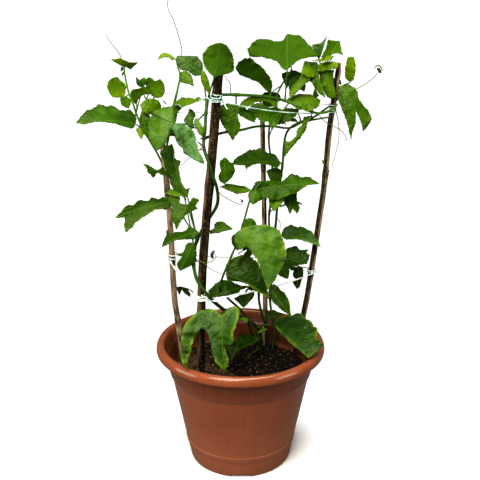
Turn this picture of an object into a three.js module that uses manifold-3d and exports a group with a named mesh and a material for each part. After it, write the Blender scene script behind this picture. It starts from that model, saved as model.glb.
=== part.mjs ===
// A potted passion flower vine: a plastic pot of soil, four wood stakes, two rings of twine and six leafy
// stems that climb them. Millimetres, +Z up. The origin is the middle of the pot's base, where it stands, and
// the plant's front faces -Y.
import * as THREE from "three";
import { mergeVertices } from "three/addons/utils/BufferGeometryUtils.js";
import Module from "manifold-3d";

const wasm = await Module();
wasm.setup();

// ---- Driving dimensions ----
const RIM_RADIUS = 151;
const POT_HEIGHT = 226;
const BASE_RADIUS = 92;
const WALL = 3;
const POT_SIDES = 36;
const WALL_SLOPE = 0.195; // radius gained for each mm of height
const FLOOR = 3;

const LIP_HEIGHT = 16;
const LIP_INNER_RADIUS = 137;
const LIP_SKIN = 3;
const SHOULDER_HEIGHT = 168;
const SHOULDER_STEP = 2.5;
const FOOT_BAND = { low: 31, high: 44, proud: 0.8 };

const NOTCHES = 4;
const NOTCH_WIDTH = 32;
const NOTCH_HEIGHT = 6;
const CHANNEL_START = 40; // radius where a drain channel under the floor begins
const DRAIN_HOLE_RADIUS = 6;
const DRAIN_HOLE_PLACE = 62;
const SLOT_ANGLES = [168, -38, 65]; // degrees, the three hanging slots in the lip's top
const SLOT_LENGTH = 7;
const SLOT_WIDTH = 3.2;
const LIP_TOP_MIDDLE = 143;

const SOIL_HEIGHT = 166;
const SOIL_TILT = -0.025; // the soil lies a little higher on the left
const SOIL_LUMP = 2.2;
const CLEARANCE = 0.35; // between pieces that touch
const SCRAP = 1; // cubic millimetres

const STAKE_DEPTH = 60; // how deep a stake stands in the soil
const STAKE_LEAN = 0.87; // its buried end lies nearer the middle, by this share
const STAKE_SIDES = 8;
const STAKE_STEPS = 12;
const WIDEST = 1.15; // a stake's widest place, in its own radius
const STEM_DEPTH = 25;
const STEM_HOLE_GAP = 1.3;
const STEM_SIDES = 5;
const PETIOLE_RADIUS = 1.25;
const PETIOLE_STEPS = 2;
const PETIOLE_RISE = 0.1;
const STOUT_STEM = 2.4; // stems thicker than this bear stouter petioles
const TENDRIL_RADIUS = 0.6;
const TENDRIL_SIDES = 3;
const BLADE_THICKNESS = 0.8;
const SMALL_BLADE = 34; // blades shorter than this have half the outline points
const RUFFLE = 0.028;
const RUFFLES = 3.4;

const TWINE_RADIUS = 1.3;
const TWINE_SIDES = 5;
const TWINE_TURN_STEPS = 9;
const TWINE_RUN_STEPS = 5;
const TWINE_PITCH = 3.1; // between one turn and the next
const TWINE_KNOT_DROP = 2.9;

// ---- Colours ----
const look = (color, roughness) => new THREE.MeshStandardMaterial({ color, roughness, metalness: 0 });
const POT_PLASTIC = look(0x9a4a33, 0.38);
const SOIL = look(0x2b1d16, 0.95);
const DARK_BARK = look(0x4a3a2d, 0.9);
const TAN_BARK = look(0x8a6f50, 0.85);
const TWINE = look(0xdfeee8, 0.7);
const LEAF_GREEN = look(0x3f7d1f, 0.5);
const SHOOT_GREEN = look(0x5f9a2c, 0.5);

// ---- Solids ----
function toSolid(geometry) {
  const bare = geometry.clone();
  bare.deleteAttribute("normal");
  bare.deleteAttribute("uv");
  const merged = mergeVertices(bare, 1e-4);
  return new wasm.Manifold(
    new wasm.Mesh({
      numProp: 3,
      vertProperties: merged.attributes.position.array,
      triVerts: new Uint32Array(merged.index.array),
    }),
  );
}

function toGeometry(solid) {
  const mesh = solid.getMesh();
  return new THREE.BufferGeometry()
    .setAttribute("position", new THREE.BufferAttribute(new Float32Array(mesh.vertProperties), 3))
    .setIndex(new THREE.BufferAttribute(new Uint32Array(mesh.triVerts), 1));
}

// Joins solids, and drops the loose scraps that joining can leave.
function join(solids) {
  const whole = solids.reduce((sum, solid) => sum.add(solid));
  const bodies = whole.decompose().filter((body) => body.volume() > SCRAP);
  return bodies.length === 1 ? bodies[0] : whole;
}

function piece(name, solid, material) {
  const geometry = toGeometry(solid);
  geometry.computeVertexNormals();
  const mesh = new THREE.Mesh(geometry, material);
  mesh.name = name;
  return mesh;
}

function surface(points, triangles) {
  return new THREE.BufferGeometry()
    .setAttribute("position", new THREE.Float32BufferAttribute(points.flatMap((p) => p.toArray()), 3))
    .setIndex(triangles);
}

// ---- Curves and tubes ----
const vector = (p) => new THREE.Vector3(...p);
const curveThrough = (points) =>
  new THREE.CatmullRomCurve3(points.map((p) => new THREE.Vector3(...p)), false, "catmullrom", 0.5);

// A closed tube along a curve, with a radius that may change along it. The rings turn as little as they can.
function tube(curve, steps, sides, radiusAt) {
  const points = [];
  const triangles = [];
  const across = new THREE.Vector3(0.31, 0.87, 0.39);
  for (let i = 0; i <= steps; i++) {
    const t = i / steps;
    const centre = curve.getPoint(t);
    const along = curve.getTangent(t);
    across.addScaledVector(along, -across.dot(along)).normalize();
    const up = new THREE.Vector3().crossVectors(along, across);
    for (let k = 0; k < sides; k++) {
      const angle = (2 * Math.PI * k) / sides;
      const radius = radiusAt(t, angle);
      points.push(
        centre
          .clone()
          .addScaledVector(across, radius * Math.cos(angle))
          .addScaledVector(up, radius * Math.sin(angle)),
      );
    }
  }
  for (let i = 0; i < steps; i++) {
    for (let k = 0; k < sides; k++) {
      const a = i * sides + k;
      const b = i * sides + ((k + 1) % sides);
      triangles.push(a, b, b + sides, a, b + sides, a + sides);
    }
  }
  const last = steps * sides;
  for (let k = 1; k < sides - 1; k++) {
    triangles.push(0, k + 1, k, last, last + k, last + k + 1);
  }
  return surface(points, triangles);
}

// ---- Pot ----
const wallRadius = (z) => BASE_RADIUS + WALL_SLOPE * z;
const lathe = (profile, sides = POT_SIDES) =>
  new THREE.LatheGeometry(profile.map(([r, z]) => new THREE.Vector2(r, z)), sides).rotateX(Math.PI / 2);

function box(x, y, z, centre, turn = 0) {
  return new THREE.BoxGeometry(x, y, z).translate(...centre).rotateZ(turn);
}

const cylinder = (radius, height, centre, turn) =>
  new THREE.CylinderGeometry(radius, radius, height, 12)
    .rotateX(Math.PI / 2)
    .translate(...centre)
    .rotateZ(turn);

const notchTurns = Array.from({ length: NOTCHES }, (_, i) => (i * 2 * Math.PI) / NOTCHES - Math.PI / 2);

// The raised floor over each drain channel, as a solid that the soil also makes room for.
function channelCovers(grow) {
  const length = BASE_RADIUS + 2 - CHANNEL_START + WALL + grow;
  const middle = CHANNEL_START - WALL - grow + length / 2;
  const height = NOTCH_HEIGHT + WALL + grow;
  return join(
    notchTurns.map((turn) =>
      toSolid(box(length, NOTCH_WIDTH + 2 * WALL + 2 * grow, height, [middle, 0, height / 2], turn)),
    ),
  );
}

const innerRadius = (z) => wallRadius(z) - WALL;
const upperRadius = (z) => wallRadius(z) + SHOULDER_STEP - 0.035 * (z - SHOULDER_HEIGHT);

function makePot() {
  const lipLow = POT_HEIGHT - LIP_HEIGHT;
  const lipMiddle = (RIM_RADIUS + LIP_INNER_RADIUS) / 2;
  const skirtInner = RIM_RADIUS - LIP_SKIN;
  const { low, high, proud } = FOOT_BAND;
  const outside = [
    [0, 0],
    [BASE_RADIUS - 3, 0],
    [BASE_RADIUS + 0.3, 2],
    [wallRadius(low), low],
    [wallRadius(low) + proud, low + 1.5],
    [wallRadius(high) + proud, high - 1.5],
    [wallRadius(high), high],
    [wallRadius(SHOULDER_HEIGHT - 6), SHOULDER_HEIGHT - 6],
    [wallRadius(SHOULDER_HEIGHT) + 0.6, SHOULDER_HEIGHT - 1],
    [upperRadius(SHOULDER_HEIGHT + 3), SHOULDER_HEIGHT + 3],
    [upperRadius(SHOULDER_HEIGHT + 7), SHOULDER_HEIGHT + 7],
    [upperRadius(lipLow + 10), lipLow + 10],
    [skirtInner - 1, lipLow + 11],
    [skirtInner, lipLow + 1],
    [skirtInner + 1, lipLow],
    [RIM_RADIUS - 0.8, lipLow + 0.6],
    [RIM_RADIUS, lipLow + 4],
    [RIM_RADIUS - 0.6, POT_HEIGHT - 6],
    [RIM_RADIUS - 2.6, POT_HEIGHT - 2],
    [lipMiddle + 1, POT_HEIGHT],
    [LIP_INNER_RADIUS + 2, POT_HEIGHT - 0.6],
    [LIP_INNER_RADIUS, POT_HEIGHT - 3],
  ];
  const ledge = POT_HEIGHT - 26;
  const inside = [
    [upperRadius(ledge + 3) - WALL + 0.8, ledge + 3],
    [upperRadius(ledge) - WALL - 0.6, ledge],
    [upperRadius(SHOULDER_HEIGHT + 5) - WALL, SHOULDER_HEIGHT + 5],
    [innerRadius(SHOULDER_HEIGHT - 4), SHOULDER_HEIGHT - 4],
    [innerRadius(FLOOR + 4), FLOOR + 4],
    [innerRadius(FLOOR) - 3, FLOOR],
    [0, FLOOR],
  ];
  let pot = toSolid(lathe([...outside, ...inside]));
  const roundShell = toSolid(lathe([[0, 0.5], [BASE_RADIUS - 1, 0.5], [wallRadius(30) - 1, 30], [0, 30]]));
  pot = pot.add(channelCovers(0).intersect(roundShell));
  for (const turn of notchTurns) {
    const reach = BASE_RADIUS + 12 - CHANNEL_START;
    const channel = box(reach, NOTCH_WIDTH, 2 * NOTCH_HEIGHT, [CHANNEL_START + reach / 2, 0, 0], turn);
    const drain = cylinder(DRAIN_HOLE_RADIUS, 30, [DRAIN_HOLE_PLACE, 0, 5], turn);
    pot = pot.subtract(toSolid(channel)).subtract(toSolid(drain));
  }
  for (const angle of SLOT_ANGLES) {
    const turn = THREE.MathUtils.degToRad(angle);
    const slot = box(SLOT_WIDTH, SLOT_LENGTH, 12, [LIP_TOP_MIDDLE, 0, POT_HEIGHT], turn);
    pot = pot.subtract(toSolid(slot));
  }
  return pot;
}

// ---- Stakes ----
const STAKES = {
  stake_front: {
    foot: [-66, -80, 166],
    path: [[-66, -80, 300], [-60, -80, 420], [-45, -80, 575], [-35, -80, 690], [-34, -80, 712]],
    radius: 6.4,
    taper: -0.12,
    joints: [0.35, 0.62, 0.8],
    dark: true,
  },
  stake_left: {
    foot: [-106, 32, 166],
    path: [[-115, 31, 253], [-120, 31, 302], [-123, 31, 420], [-129, 31, 530], [-138, 31, 638]],
    radius: 5.3,
    taper: 0.1,
    joints: [0.27, 0.33, 0.6, 0.78],
    dark: false,
  },
  stake_right: {
    foot: [101, 46, 166],
    path: [[122, 51, 286], [136, 51, 402], [147, 51, 500], [153, 51, 600], [166, 51, 710]],
    radius: 5.2,
    taper: 0.12,
    joints: [0.4, 0.7],
    dark: false,
  },
  stake_back: {
    foot: [46, 100, 166],
    path: [[47, 98, 270], [44, 95, 420], [40, 92, 555], [38, 92, 640]],
    radius: 4.7,
    taper: 0.16,
    joints: [0.5, 0.75],
    dark: false,
  },
};

function stakeCurve({ foot, path }, grow = 0) {
  const end = [foot[0] * STAKE_LEAN, foot[1] * STAKE_LEAN, SOIL_HEIGHT - STAKE_DEPTH - grow];
  return curveThrough([end, foot, ...path]);
}

// Where a stake's middle is at a height, and its girth there.
function stakeAt(stake, height) {
  const curve = stakeCurve(stake);
  let low = 0;
  let high = 1;
  for (let i = 0; i < 30; i++) {
    const t = (low + high) / 2;
    if (curve.getPoint(t).z < height) low = t;
    else high = t;
  }
  return { middle: curve.getPoint(low), radius: stake.radius * (WIDEST - stake.taper * low) };
}

function stakeSolid({ foot, path, radius, taper, joints }, grow = 0) {
  const swell = (t) =>
    joints.reduce((sum, place) => sum + Math.exp(-(((t - place) * STAKE_STEPS) ** 2) * 3), 0) * 0.12;
  const gnarl = (t, angle) => 0.05 * Math.sin(19 * t + 2 * angle) + 0.03 * Math.sin(31 * t - angle);
  const radiusAt = (t, angle) => radius * (1.06 - taper * t + swell(t) + gnarl(t, angle)) + grow;
  return toSolid(tube(stakeCurve({ foot, path }, grow), STAKE_STEPS, STAKE_SIDES, radiusAt));
}

// ---- Twine ----
// Each turn is round a stake at a height. The run from it to the next stake sags.
const TWINE_RINGS = {
  twine_upper: {
    turns: [
      { stake: "stake_front", height: 672, sag: 8 },
      { stake: "stake_right", height: 629, sag: 3 },
      { stake: "stake_back", height: 628, sag: 2 },
      { stake: "stake_left", height: 626, sag: 0 },
    ],
    tail: [-20, -94, 655],
  },
  twine_lower: {
    turns: [
      { stake: "stake_front", height: 345, sag: 6 },
      { stake: "stake_right", height: 339, sag: 3 },
      { stake: "stake_back", height: 345, sag: 4 },
      { stake: "stake_left", height: 372, sag: -2 },
    ],
    tail: [-50, -94, 330],
  },
};

// Twine that winds once round each stake and sags a little between them, from its knot on the front stake
// and back to it.
function twineSolid({ turns, tail }) {
  const ring = turns.map(({ stake, height, sag }) => {
    const { middle, radius } = stakeAt(STAKES[stake], height);
    return { middle, radius: radius + TWINE_RADIUS + 2 * CLEARANCE, sag };
  });
  const count = ring.length;
  const points = [];
  for (let i = 0; i <= count; i++) {
    const here = ring[i % count];
    const before = ring[(i + count - 1) % count];
    const after = ring[(i + 1) % count];
    const outward = (from, to) =>
      Math.atan2(to.middle.y - from.middle.y, to.middle.x - from.middle.x) - Math.PI / 2;
    const arrive = outward(before, here);
    let leave = outward(here, after);
    while (leave < arrive) leave += 2 * Math.PI;
    const last = i === count;
    const from = i === 0 ? leave - 2 * Math.PI : arrive;
    const to = last ? arrive + Math.PI : leave + (i === 0 ? 0 : 2 * Math.PI);
    const steps = Math.round(((to - from) / (2 * Math.PI)) * TWINE_TURN_STEPS);
    const knotDrop = last ? TWINE_KNOT_DROP : 0;
    for (let k = 0; k <= steps; k++) {
      const angle = from + ((to - from) * k) / steps;
      const drop = ((angle - from) / (2 * Math.PI)) * TWINE_PITCH + knotDrop;
      points.push([
        here.middle.x + here.radius * Math.cos(angle),
        here.middle.y + here.radius * Math.sin(angle),
        here.middle.z - drop,
      ]);
    }
    if (last) break;
    const start = vector(points[points.length - 1]);
    const side = outward(here, after);
    const end = new THREE.Vector3(
      after.middle.x + after.radius * Math.cos(side),
      after.middle.y + after.radius * Math.sin(side),
      after.middle.z - (i === count - 1 ? TWINE_KNOT_DROP : 0),
    );
    for (let k = 1; k < TWINE_RUN_STEPS; k++) {
      const t = k / TWINE_RUN_STEPS;
      const hang = 4 * t * (1 - t);
      const point = start.clone().lerp(end, t);
      point.z -= here.sag * hang;
      points.push(point.toArray());
    }
  }
  points.push(tail);
  const curve = curveThrough(points);
  return toSolid(tube(curve, points.length - 1, TWINE_SIDES, () => TWINE_RADIUS));
}

// ---- Leaves ----
// Half outlines, as places along the blade and across it, in shares of its length and half width.
const OUTLINES = {
  oval: [[-0.06, 0.34], [0.06, 0.8], [0.28, 1], [0.54, 0.92], [0.77, 0.54], [0.92, 0.19]],
  round: [[-0.08, 0.4], [0.1, 0.86], [0.4, 1.02], [0.74, 0.82], [0.95, 0.38]],
  lobed: [
    [-0.12, 0.22], [-0.03, 0.62], [0.36, 0.92], [0.74, 1.04], [0.56, 0.7], [0.42, 0.37], [0.64, 0.4],
    [0.84, 0.28],
  ],
};

// A blade's two edges, from its base to its tip, in millimetres along it and across it.
function bladeEdges(leaf, length) {
  if (leaf.left) return { left: leaf.left, right: leaf.right };
  const small = length < SMALL_BLADE;
  const edge = OUTLINES[leaf.shape]
    .filter((_, i) => !small || i % 2 === 1)
    .map(([along, across]) => [along * length, across * leaf.width * length]);
  return { left: edge, right: edge };
}

// The blade's surface, as a function of millimetres along and across it.
function bladeSurface({ base, tip, face, arch, fold, sweep }, halfWidth) {
  const start = vector(base);
  const axis = vector(tip).sub(start);
  const length = axis.length();
  axis.normalize();
  const up = vector(face);
  up.addScaledVector(axis, -up.dot(axis)).normalize();
  const left = new THREE.Vector3().crossVectors(up, axis);
  const foldAngle = THREE.MathUtils.degToRad(fold);
  return (along, across) => {
    const share = along / length;
    const bow = 4 * share * (1 - share);
    const reach = Math.abs(across) / halfWidth;
    const localUp = up.clone().addScaledVector(axis, -4 * arch * (1 - 2 * share)).normalize();
    const wave = Math.sin(2 * Math.PI * RUFFLES * share + (across > 0 ? 0.6 : 3.4));
    const ruffle = RUFFLE * length * reach * reach * wave;
    const drop = Math.abs(across) * Math.sin(foldAngle) * Math.sqrt(reach) - ruffle;
    return start
      .clone()
      .addScaledVector(axis, along)
      .addScaledVector(up, arch * length * bow)
      .addScaledVector(left, sweep * length * bow + across * Math.cos(foldAngle))
      .addScaledVector(localUp, -drop);
  };
}

// Cuts half a blade into triangles. The midrib is bowed off the half by a trace, so that none of its points
// lie in line and all of them are used.
function cutHalf(flat, midrib, edge, side) {
  const contour = [...midrib, ...edge.toReversed()];
  const bowed = contour.map((i, k) => {
    const trace = k > 0 && k < midrib.length - 1 ? 0.02 * k * (midrib.length - 1 - k) : 0;
    return new THREE.Vector2(flat[i].x - side * trace, flat[i].y);
  });
  return THREE.ShapeUtils.triangulateShape(bowed, []).map((corners) => {
    const [p, q, r] = corners.map((k) => bowed[k]);
    const [a, b, c] = corners.map((k) => contour[k]);
    const turn = (q.x - p.x) * (r.y - p.y) - (q.y - p.y) * (r.x - p.x);
    return turn < 0 ? [a, b, c] : [a, c, b];
  });
}

// One leaf as a single closed surface: a three-sided petiole that opens into a thin blade, which is cut into
// the same triangles above and below.
function leafSolid(stemCurve, leaf, size) {
  const length = vector(leaf.tip).distanceTo(vector(leaf.base));
  const { left, right } = bladeEdges(leaf, length);
  const halfWidth = Math.max(...[...left, ...right].map(([, across]) => across));
  const at = bladeSurface(leaf, halfWidth);
  const flat = [];
  const top = [];
  const add = (along, across) => {
    flat.push(new THREE.Vector2(across, along));
    return top.push(at(along, across)) - 1;
  };
  const ribs = length < SMALL_BLADE ? [0, 0.5, 1] : [0, 0.3, 0.6, 1];
  const midrib = ribs.map((share) => add(share * length, 0));
  const leftEdge = left.map(([along, across]) => add(along, across));
  const rightEdge = right.map(([along, across]) => add(along, -across));
  const spineStart = midrib[1];
  const tip = midrib.at(-1);
  const leftFaces = cutHalf(flat, midrib, leftEdge, 1);
  const rightFaces = cutHalf(flat, midrib, rightEdge, -1);
  const normals = top.map(() => new THREE.Vector3());
  for (const face of [...leftFaces, ...rightFaces]) {
    const [p, q, r] = face.map((i) => top[i]);
    const normal = q.clone().sub(p).cross(r.clone().sub(p));
    for (const i of face) normals[i].add(normal);
  }
  const offset = (distance) => (p, i) => p.clone().addScaledVector(normals[i].normalize(), distance);
  const points = [...top.map(offset(BLADE_THICKNESS / 2)), ...top.map(offset(-BLADE_THICKNESS / 2))];
  const under = top.length;

  // The petiole's rings, each a point above and two below, run from inside the stem to the blade's base.
  const node = stemCurve.getPoint(leaf.at);
  const middle = node.clone().lerp(top[0], 0.5);
  middle.z += PETIOLE_RISE * node.distanceTo(top[0]);
  const route = new THREE.QuadraticBezierCurve3(node, middle, top[0]);
  const up = normals[0];
  const rings = [];
  for (let i = 0; i <= PETIOLE_STEPS; i++) {
    const t = i / PETIOLE_STEPS;
    const along = route.getTangent(t);
    const above = up.clone().addScaledVector(along, -up.dot(along)).normalize();
    const left = new THREE.Vector3().crossVectors(above, along);
    const radius = PETIOLE_RADIUS * size * (1.15 - 0.3 * t);
    const centre = route.getPoint(t);
    const around = [90, 210, 330].map((degrees) => {
      const angle = THREE.MathUtils.degToRad(degrees);
      return centre
        .clone()
        .addScaledVector(above, radius * Math.sin(angle))
        .addScaledVector(left, -radius * Math.cos(angle));
    });
    rings.push(around.map((p) => points.push(p) - 1));
  }
  const [above, lowLeft, lowRight] = rings.at(-1);
  const triangles = [];
  const rename = (i, base, lift) => (i === 0 ? base : i + lift);
  for (const face of [...leftFaces, ...rightFaces]) triangles.push(...face.map((i) => rename(i, above, 0)));
  for (const [a, b, c] of leftFaces) triangles.push(...[a, c, b].map((i) => rename(i, lowLeft, under)));
  for (const [a, b, c] of rightFaces) triangles.push(...[a, c, b].map((i) => rename(i, lowRight, under)));
  triangles.push(lowLeft, spineStart + under, lowRight);
  const rim = [0, ...rightEdge, tip, ...leftEdge.toReversed(), 0];
  for (let i = 0; i < rim.length - 1; i++) {
    const [a, b] = [rim[i], rim[i + 1]];
    const lowA = rename(a, lowRight, under);
    const lowB = rename(b, lowLeft, under);
    triangles.push(rename(a, above, 0), lowA, lowB, rename(a, above, 0), lowB, rename(b, above, 0));
  }
  for (let i = 0; i < PETIOLE_STEPS; i++) {
    for (let k = 0; k < 3; k++) {
      const n = (k + 1) % 3;
      const [here, next] = [rings[i], rings[i + 1]];
      triangles.push(here[k], next[k], next[n], here[k], next[n], here[n]);
    }
  }
  triangles.push(...rings[0]);
  return toSolid(surface(points, triangles));
}

// ---- Leafy stems ----
// A leaf's `at` is the share of its stem's points that lie below it. `face` is the way its upper side looks.
const VINES = {
  vine_main: {
    young: false,
    stems: [
      {
        rooted: true,
        radius: 3,
        path: [
          [38, 82, 166], [35, 74, 209], [10, 40, 249], [-22, -24, 290], [-44, -76, 331],
          [-52, -94, 349], [-63, -98, 365], [-73, -92, 383], [-77, -82, 411], [-71, -68, 437],
          [-55, -62, 466], [-38, -66, 496], [-37, -78, 524], [-43, -92, 550], [-50, -96, 574],
          [-57, -88, 597], [-55, -78, 623], [-53, -70, 650], [-49, -63, 667], [-29, -60, 672],
          [15, -45, 669], [47, -22, 663], [74, -2, 654], [100, -3, 643], [128, 12, 632],
          [151, 26, 635], [162, 32, 644],
        ],
        leaves: [
          { at: 0.68, base: [-59, -42, 700], tip: [-100, -34, 729], face: [0, -0.84, 0.54],
            arch: 0.08, fold: 15, sweep: 0,
            left: [[9, 9], [24, 11], [33, 15], [44, 11]],
            right: [[10, 15], [25, 20], [39, 9]] },
          { at: 0.69, base: [-49, -58, 673], tip: [-60, -52, 709], face: [-0.11, -0.9, 0.42],
            arch: 0.05, fold: 25, sweep: 0,
            left: [[14, 6], [26, 6]],
            right: [[11, 6], [32, 5]] },
          { at: 0.69, base: [-58, -58, 665], tip: [-108, -30, 654], face: [0, -0.4, 0.92],
            arch: 0.1, fold: 8, sweep: 0.18,
            left: [[4, 7], [11, 10], [20, 14], [35, 10]],
            right: [[9, 10], [13, 3], [34, 19], [52, 20]] },
          { at: 0.66, base: [-78, -64, 619], tip: [-81, -56, 650], face: [0.1, -0.94, 0.31],
            arch: 0.05, fold: 12, sweep: 0,
            left: [[8, 6], [14, 10], [26, 2]],
            right: [[1, 7], [21, 10]] },
          { at: 0.63, base: [-58, -92, 612], tip: [-68, -84, 640], face: [-0.1, -0.86, 0.5],
            arch: 0.06, fold: 15, sweep: 0,
            left: [[6, 4], [17, 6], [27, 5]],
            right: [[8, 5], [26, 3]] },
          { at: 0.62, base: [-92, -60, 627], tip: [-56, -104, 572], face: [-0.35, -0.75, 0.55],
            arch: 0.08, fold: 14, sweep: 0,
            left: [[15, 9], [27, 11], [46, 6], [61, 3], [73, 3]],
            right: [[-13, 15], [-10, 21], [6, 19], [23, 22], [39, 18], [48, 19], [70, 8]] },
          { at: 0.7, base: [-39, -95, 702], tip: [-29, -104, 754], face: [0.05, 0.94, 0.33],
            arch: 0.07, fold: -14, sweep: 0,
            left: [[6, 13], [14, 28], [29, 24], [41, 18], [51, 8]],
            right: [[6, 10], [16, 20], [27, 24], [39, 20], [49, 11]] },
          { at: 0.81, base: [50, -18, 667], tip: [-8, -46, 712], face: [0.13, 0.88, 0.45],
            arch: 0.05, fold: 10, sweep: 0.03,
            left: [[14, 15], [36, 24], [59, 29], [85, 32], [85, 17]],
            right: [[11, 2], [28, 2], [46, 5], [62, 9]] },
          { at: 0.85, base: [75, -6, 703], tip: [77, 38, 758], face: [0, 0.86, 0.5],
            arch: 0.06, fold: 12, sweep: 0,
            left: [[11, 8], [20, 16], [26, 32], [28, 52], [46, 41], [58, 31], [68, 21],
              [69, 10]],
            right: [[5, 9], [17, 20], [19, 42], [16, 64], [29, 67], [53, 50], [56, 29],
              [56, 11]] },
          { at: 0.83, base: [59, -20, 647], tip: [-1, -52, 650], face: [0, -0.86, 0.51],
            arch: 0.1, fold: 8, sweep: -0.18,
            left: [[9, 6], [16, 3], [37, 5], [60, 7]],
            right: [[-6, 17], [6, 12], [27, 3], [45, 6], [64, 7]] },
          { at: 0.76, base: [-7, -50, 652], tip: [23, -40, 625], face: [0.1, -0.7, 0.7],
            arch: 0.05, fold: 15, sweep: 0,
            left: [[13, 9], [31, 12]],
            right: [[12, 8], [28, 6]] },
          { at: 0.86, base: [71, -2, 639], tip: [6, -34, 639], face: [0, -0.72, 0.7],
            arch: 0.05, fold: 8, sweep: 0,
            left: [[15, 21], [35, 36], [38, 22], [49, 23], [54, 11], [62, 20], [67, 8]],
            right: [[13, 5], [28, 6], [39, 16], [53, 16]] },
          { at: 0.89, base: [97, 12, 638], tip: [53, -6, 614], face: [0.1, -0.6, 0.8],
            arch: 0.08, fold: 15, sweep: 0,
            left: [[10, 8], [22, 11], [35, 9]],
            right: [[10, 12], [24, 19], [46, 15]] },
          { at: 0.89, base: [133, 28, 651], tip: [76, 8, 656], face: [0, -0.5, 0.87],
            arch: 0.05, fold: 10, sweep: 0,
            left: [[10, 18], [31, 29], [48, 24], [59, 12]],
            right: [[10, 11], [25, 14], [43, 10]] },
          { at: 0.37, base: [-87, -36, 500], tip: [-114, 6, 582], face: [-0.31, -0.93, 0.21],
            arch: 0, fold: 8, sweep: 0.06,
            left: [[4, 5], [15, 15], [36, 18], [56, 18], [81, 23], [91, 24], [95, 13]],
            right: [[14, 11], [17, 3], [36, 3], [53, 5], [63, 10], [73, 2], [86, 3]] },
          { at: 0.37, base: [-113, -44, 495], tip: [-203, -70, 475], face: [-0.1, -0.56, 0.82],
            arch: 0.06, fold: 12, sweep: 0,
            left: [[10, 13], [28, 11], [50, 17], [70, 25], [88, 34], [87, 21], [81, 7]],
            right: [[9, 19], [19, 13], [28, 22], [36, 13], [50, 21], [62, 14], [73, 17]] },
          { at: 0.37, base: [-87, -54, 493], tip: [-104, -70, 455], face: [0, -0.96, 0.29],
            arch: 0.05, fold: 15, sweep: 0,
            left: [[-7, 2], [-16, 4], [-17, 16], [-6, 14], [-1, 19], [13, 7], [27, 2]],
            right: [[1, 12], [-6, 19], [-2, 39], [12, 22], [27, 18]] },
          { at: 0.35, base: [-92, -50, 507], tip: [-123, -46, 511], face: [0, -0.71, 0.71],
            arch: 0, fold: 10, sweep: 0,
            left: [[14, 4]],
            right: [[11, 6], [24, 11]] },
          { at: 0.33, base: [-68, -84, 456], tip: [-130, -60, 422], face: [0, -0.71, 0.71],
            arch: 0.1, fold: 12, sweep: 0,
            left: [[7, 12], [25, 7], [46, 2], [61, 3]],
            right: [[13, 18], [20, 10], [31, 10], [49, 13], [61, 26]] },
          { at: 0.32, base: [-75, -94, 441], tip: [-99, -84, 389], face: [-0.2, -0.84, 0.5],
            arch: 0.03, fold: 18, sweep: 0,
            left: [[11, 11], [28, 17], [41, 12]],
            right: [[10, 11], [26, 11], [42, 23], [34, 8], [53, 13]] },
          { at: 0.41, base: [-51, -68, 453], tip: [-12, -60, 453], face: [0.1, -0.7, 0.7],
            arch: 0.04, fold: 8, sweep: 0,
            left: [[8, 4], [11, 13], [23, 16]],
            right: [[1, 6], [14, 6], [27, 3]] },
          { at: 0.15, base: [-30, -100, 318], tip: [-24, -132, 228], face: [0, -0.72, 0.7],
            arch: 0.1, fold: 10, sweep: -0.03,
            left: [[-9, 9], [-13, 19], [-5, 29], [17, 24], [32, 19], [48, 19], [50, 3],
              [72, 8]],
            right: [[-9, 11], [-12, 27], [-8, 43], [2, 58], [20, 67], [45, 69], [72, 70],
              [91, 67], [63, 55], [37, 47], [22, 38], [20, 31], [28, 23], [51, 18], [69, 16], [87, 7]] },
        ],
        tendrils: [
          [[128, 12, 632], [141, 16, 617], [166, 24, 603], [176, 24, 593], [179, 26, 584],
            [174, 28, 582]],
          [[-37, -78, 524], [-28, -80, 515], [-4, -84, 503], [3, -84, 504], [2, -84, 510],
            [-2, -84, 510]],
          [[-77, -82, 411], [-60, -98, 408], [-46, -98, 396], [-27, -80, 381]],
          [[-76, -83, 406], [-51, -98, 409], [-40, -98, 417], [-41, -98, 423], [-46, -98, 422]],
          [[-57, -88, 597], [-70, -80, 584], [-83, -64, 571], [-97, -50, 557]],
          [[-15, -55, 671], [-16, -70, 690], [-22, -80, 700], [-27, -86, 705]],
        ],
      },
      {
        rooted: false,
        radius: 2.2,
        path: [
          [-57, -84, 606], [-53, -71, 607], [-42, -62, 609], [-24, -58, 613], [2, -48, 615],
          [25, -30, 617], [52, -10, 614], [81, 8, 608], [105, 20, 616], [134, 30, 620],
          [151, 34, 622],
        ],
        leaves: [
          { at: 0.35, base: [-4, -62, 657], tip: [-12, -70, 601], face: [0.1, -0.96, 0.25],
            arch: 0.05, fold: 10, sweep: 0,
            left: [[4, 6], [17, 2], [32, 9], [40, 7]],
            right: [[0, 13], [3, 25], [18, 27], [33, 21], [50, 6]] },
          { at: 0.83, base: [118, 6, 628], tip: [72, -12, 562], face: [0.1, -0.88, 0.47],
            arch: 0.05, fold: 12, sweep: -0.03,
            left: [[15, 2], [21, 6], [33, 7], [49, 6], [67, 3]],
            right: [[8, 11], [19, 5], [32, 5], [43, 2], [55, 5], [59, 13]] },
        ],
      },
    ],
  },
  vine_left: {
    young: true,
    stems: [
      {
        rooted: true,
        radius: 2.2,
        path: [
          [-98, 50, 166], [-108, 52, 212], [-121, 50, 282], [-123, 50, 360], [-125, 50, 436],
          [-128, 48, 491], [-132, 45, 524], [-139, 40, 550], [-156, 26, 588], [-172, 16, 627],
          [-177, 12, 647], [-184, 8, 670], [-188, 6, 696],
        ],
        leaves: [
          { at: 1, base: [-188, 8, 707], tip: [-193, -4, 723], face: [0, -0.9, 0.43],
            arch: 0.03, fold: 6, sweep: 0,
            left: [[7, 4], [25, 14]],
            right: [[-2, 3], [-6, 24], [13, 5]] },
          { at: 0.95, base: [-188, 12, 673], tip: [-218, 6, 676], face: [0, 1, -0.04],
            arch: 0.05, fold: 8, sweep: 0,
            left: [[2, 7], [15, 17], [29, 9]],
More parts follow.
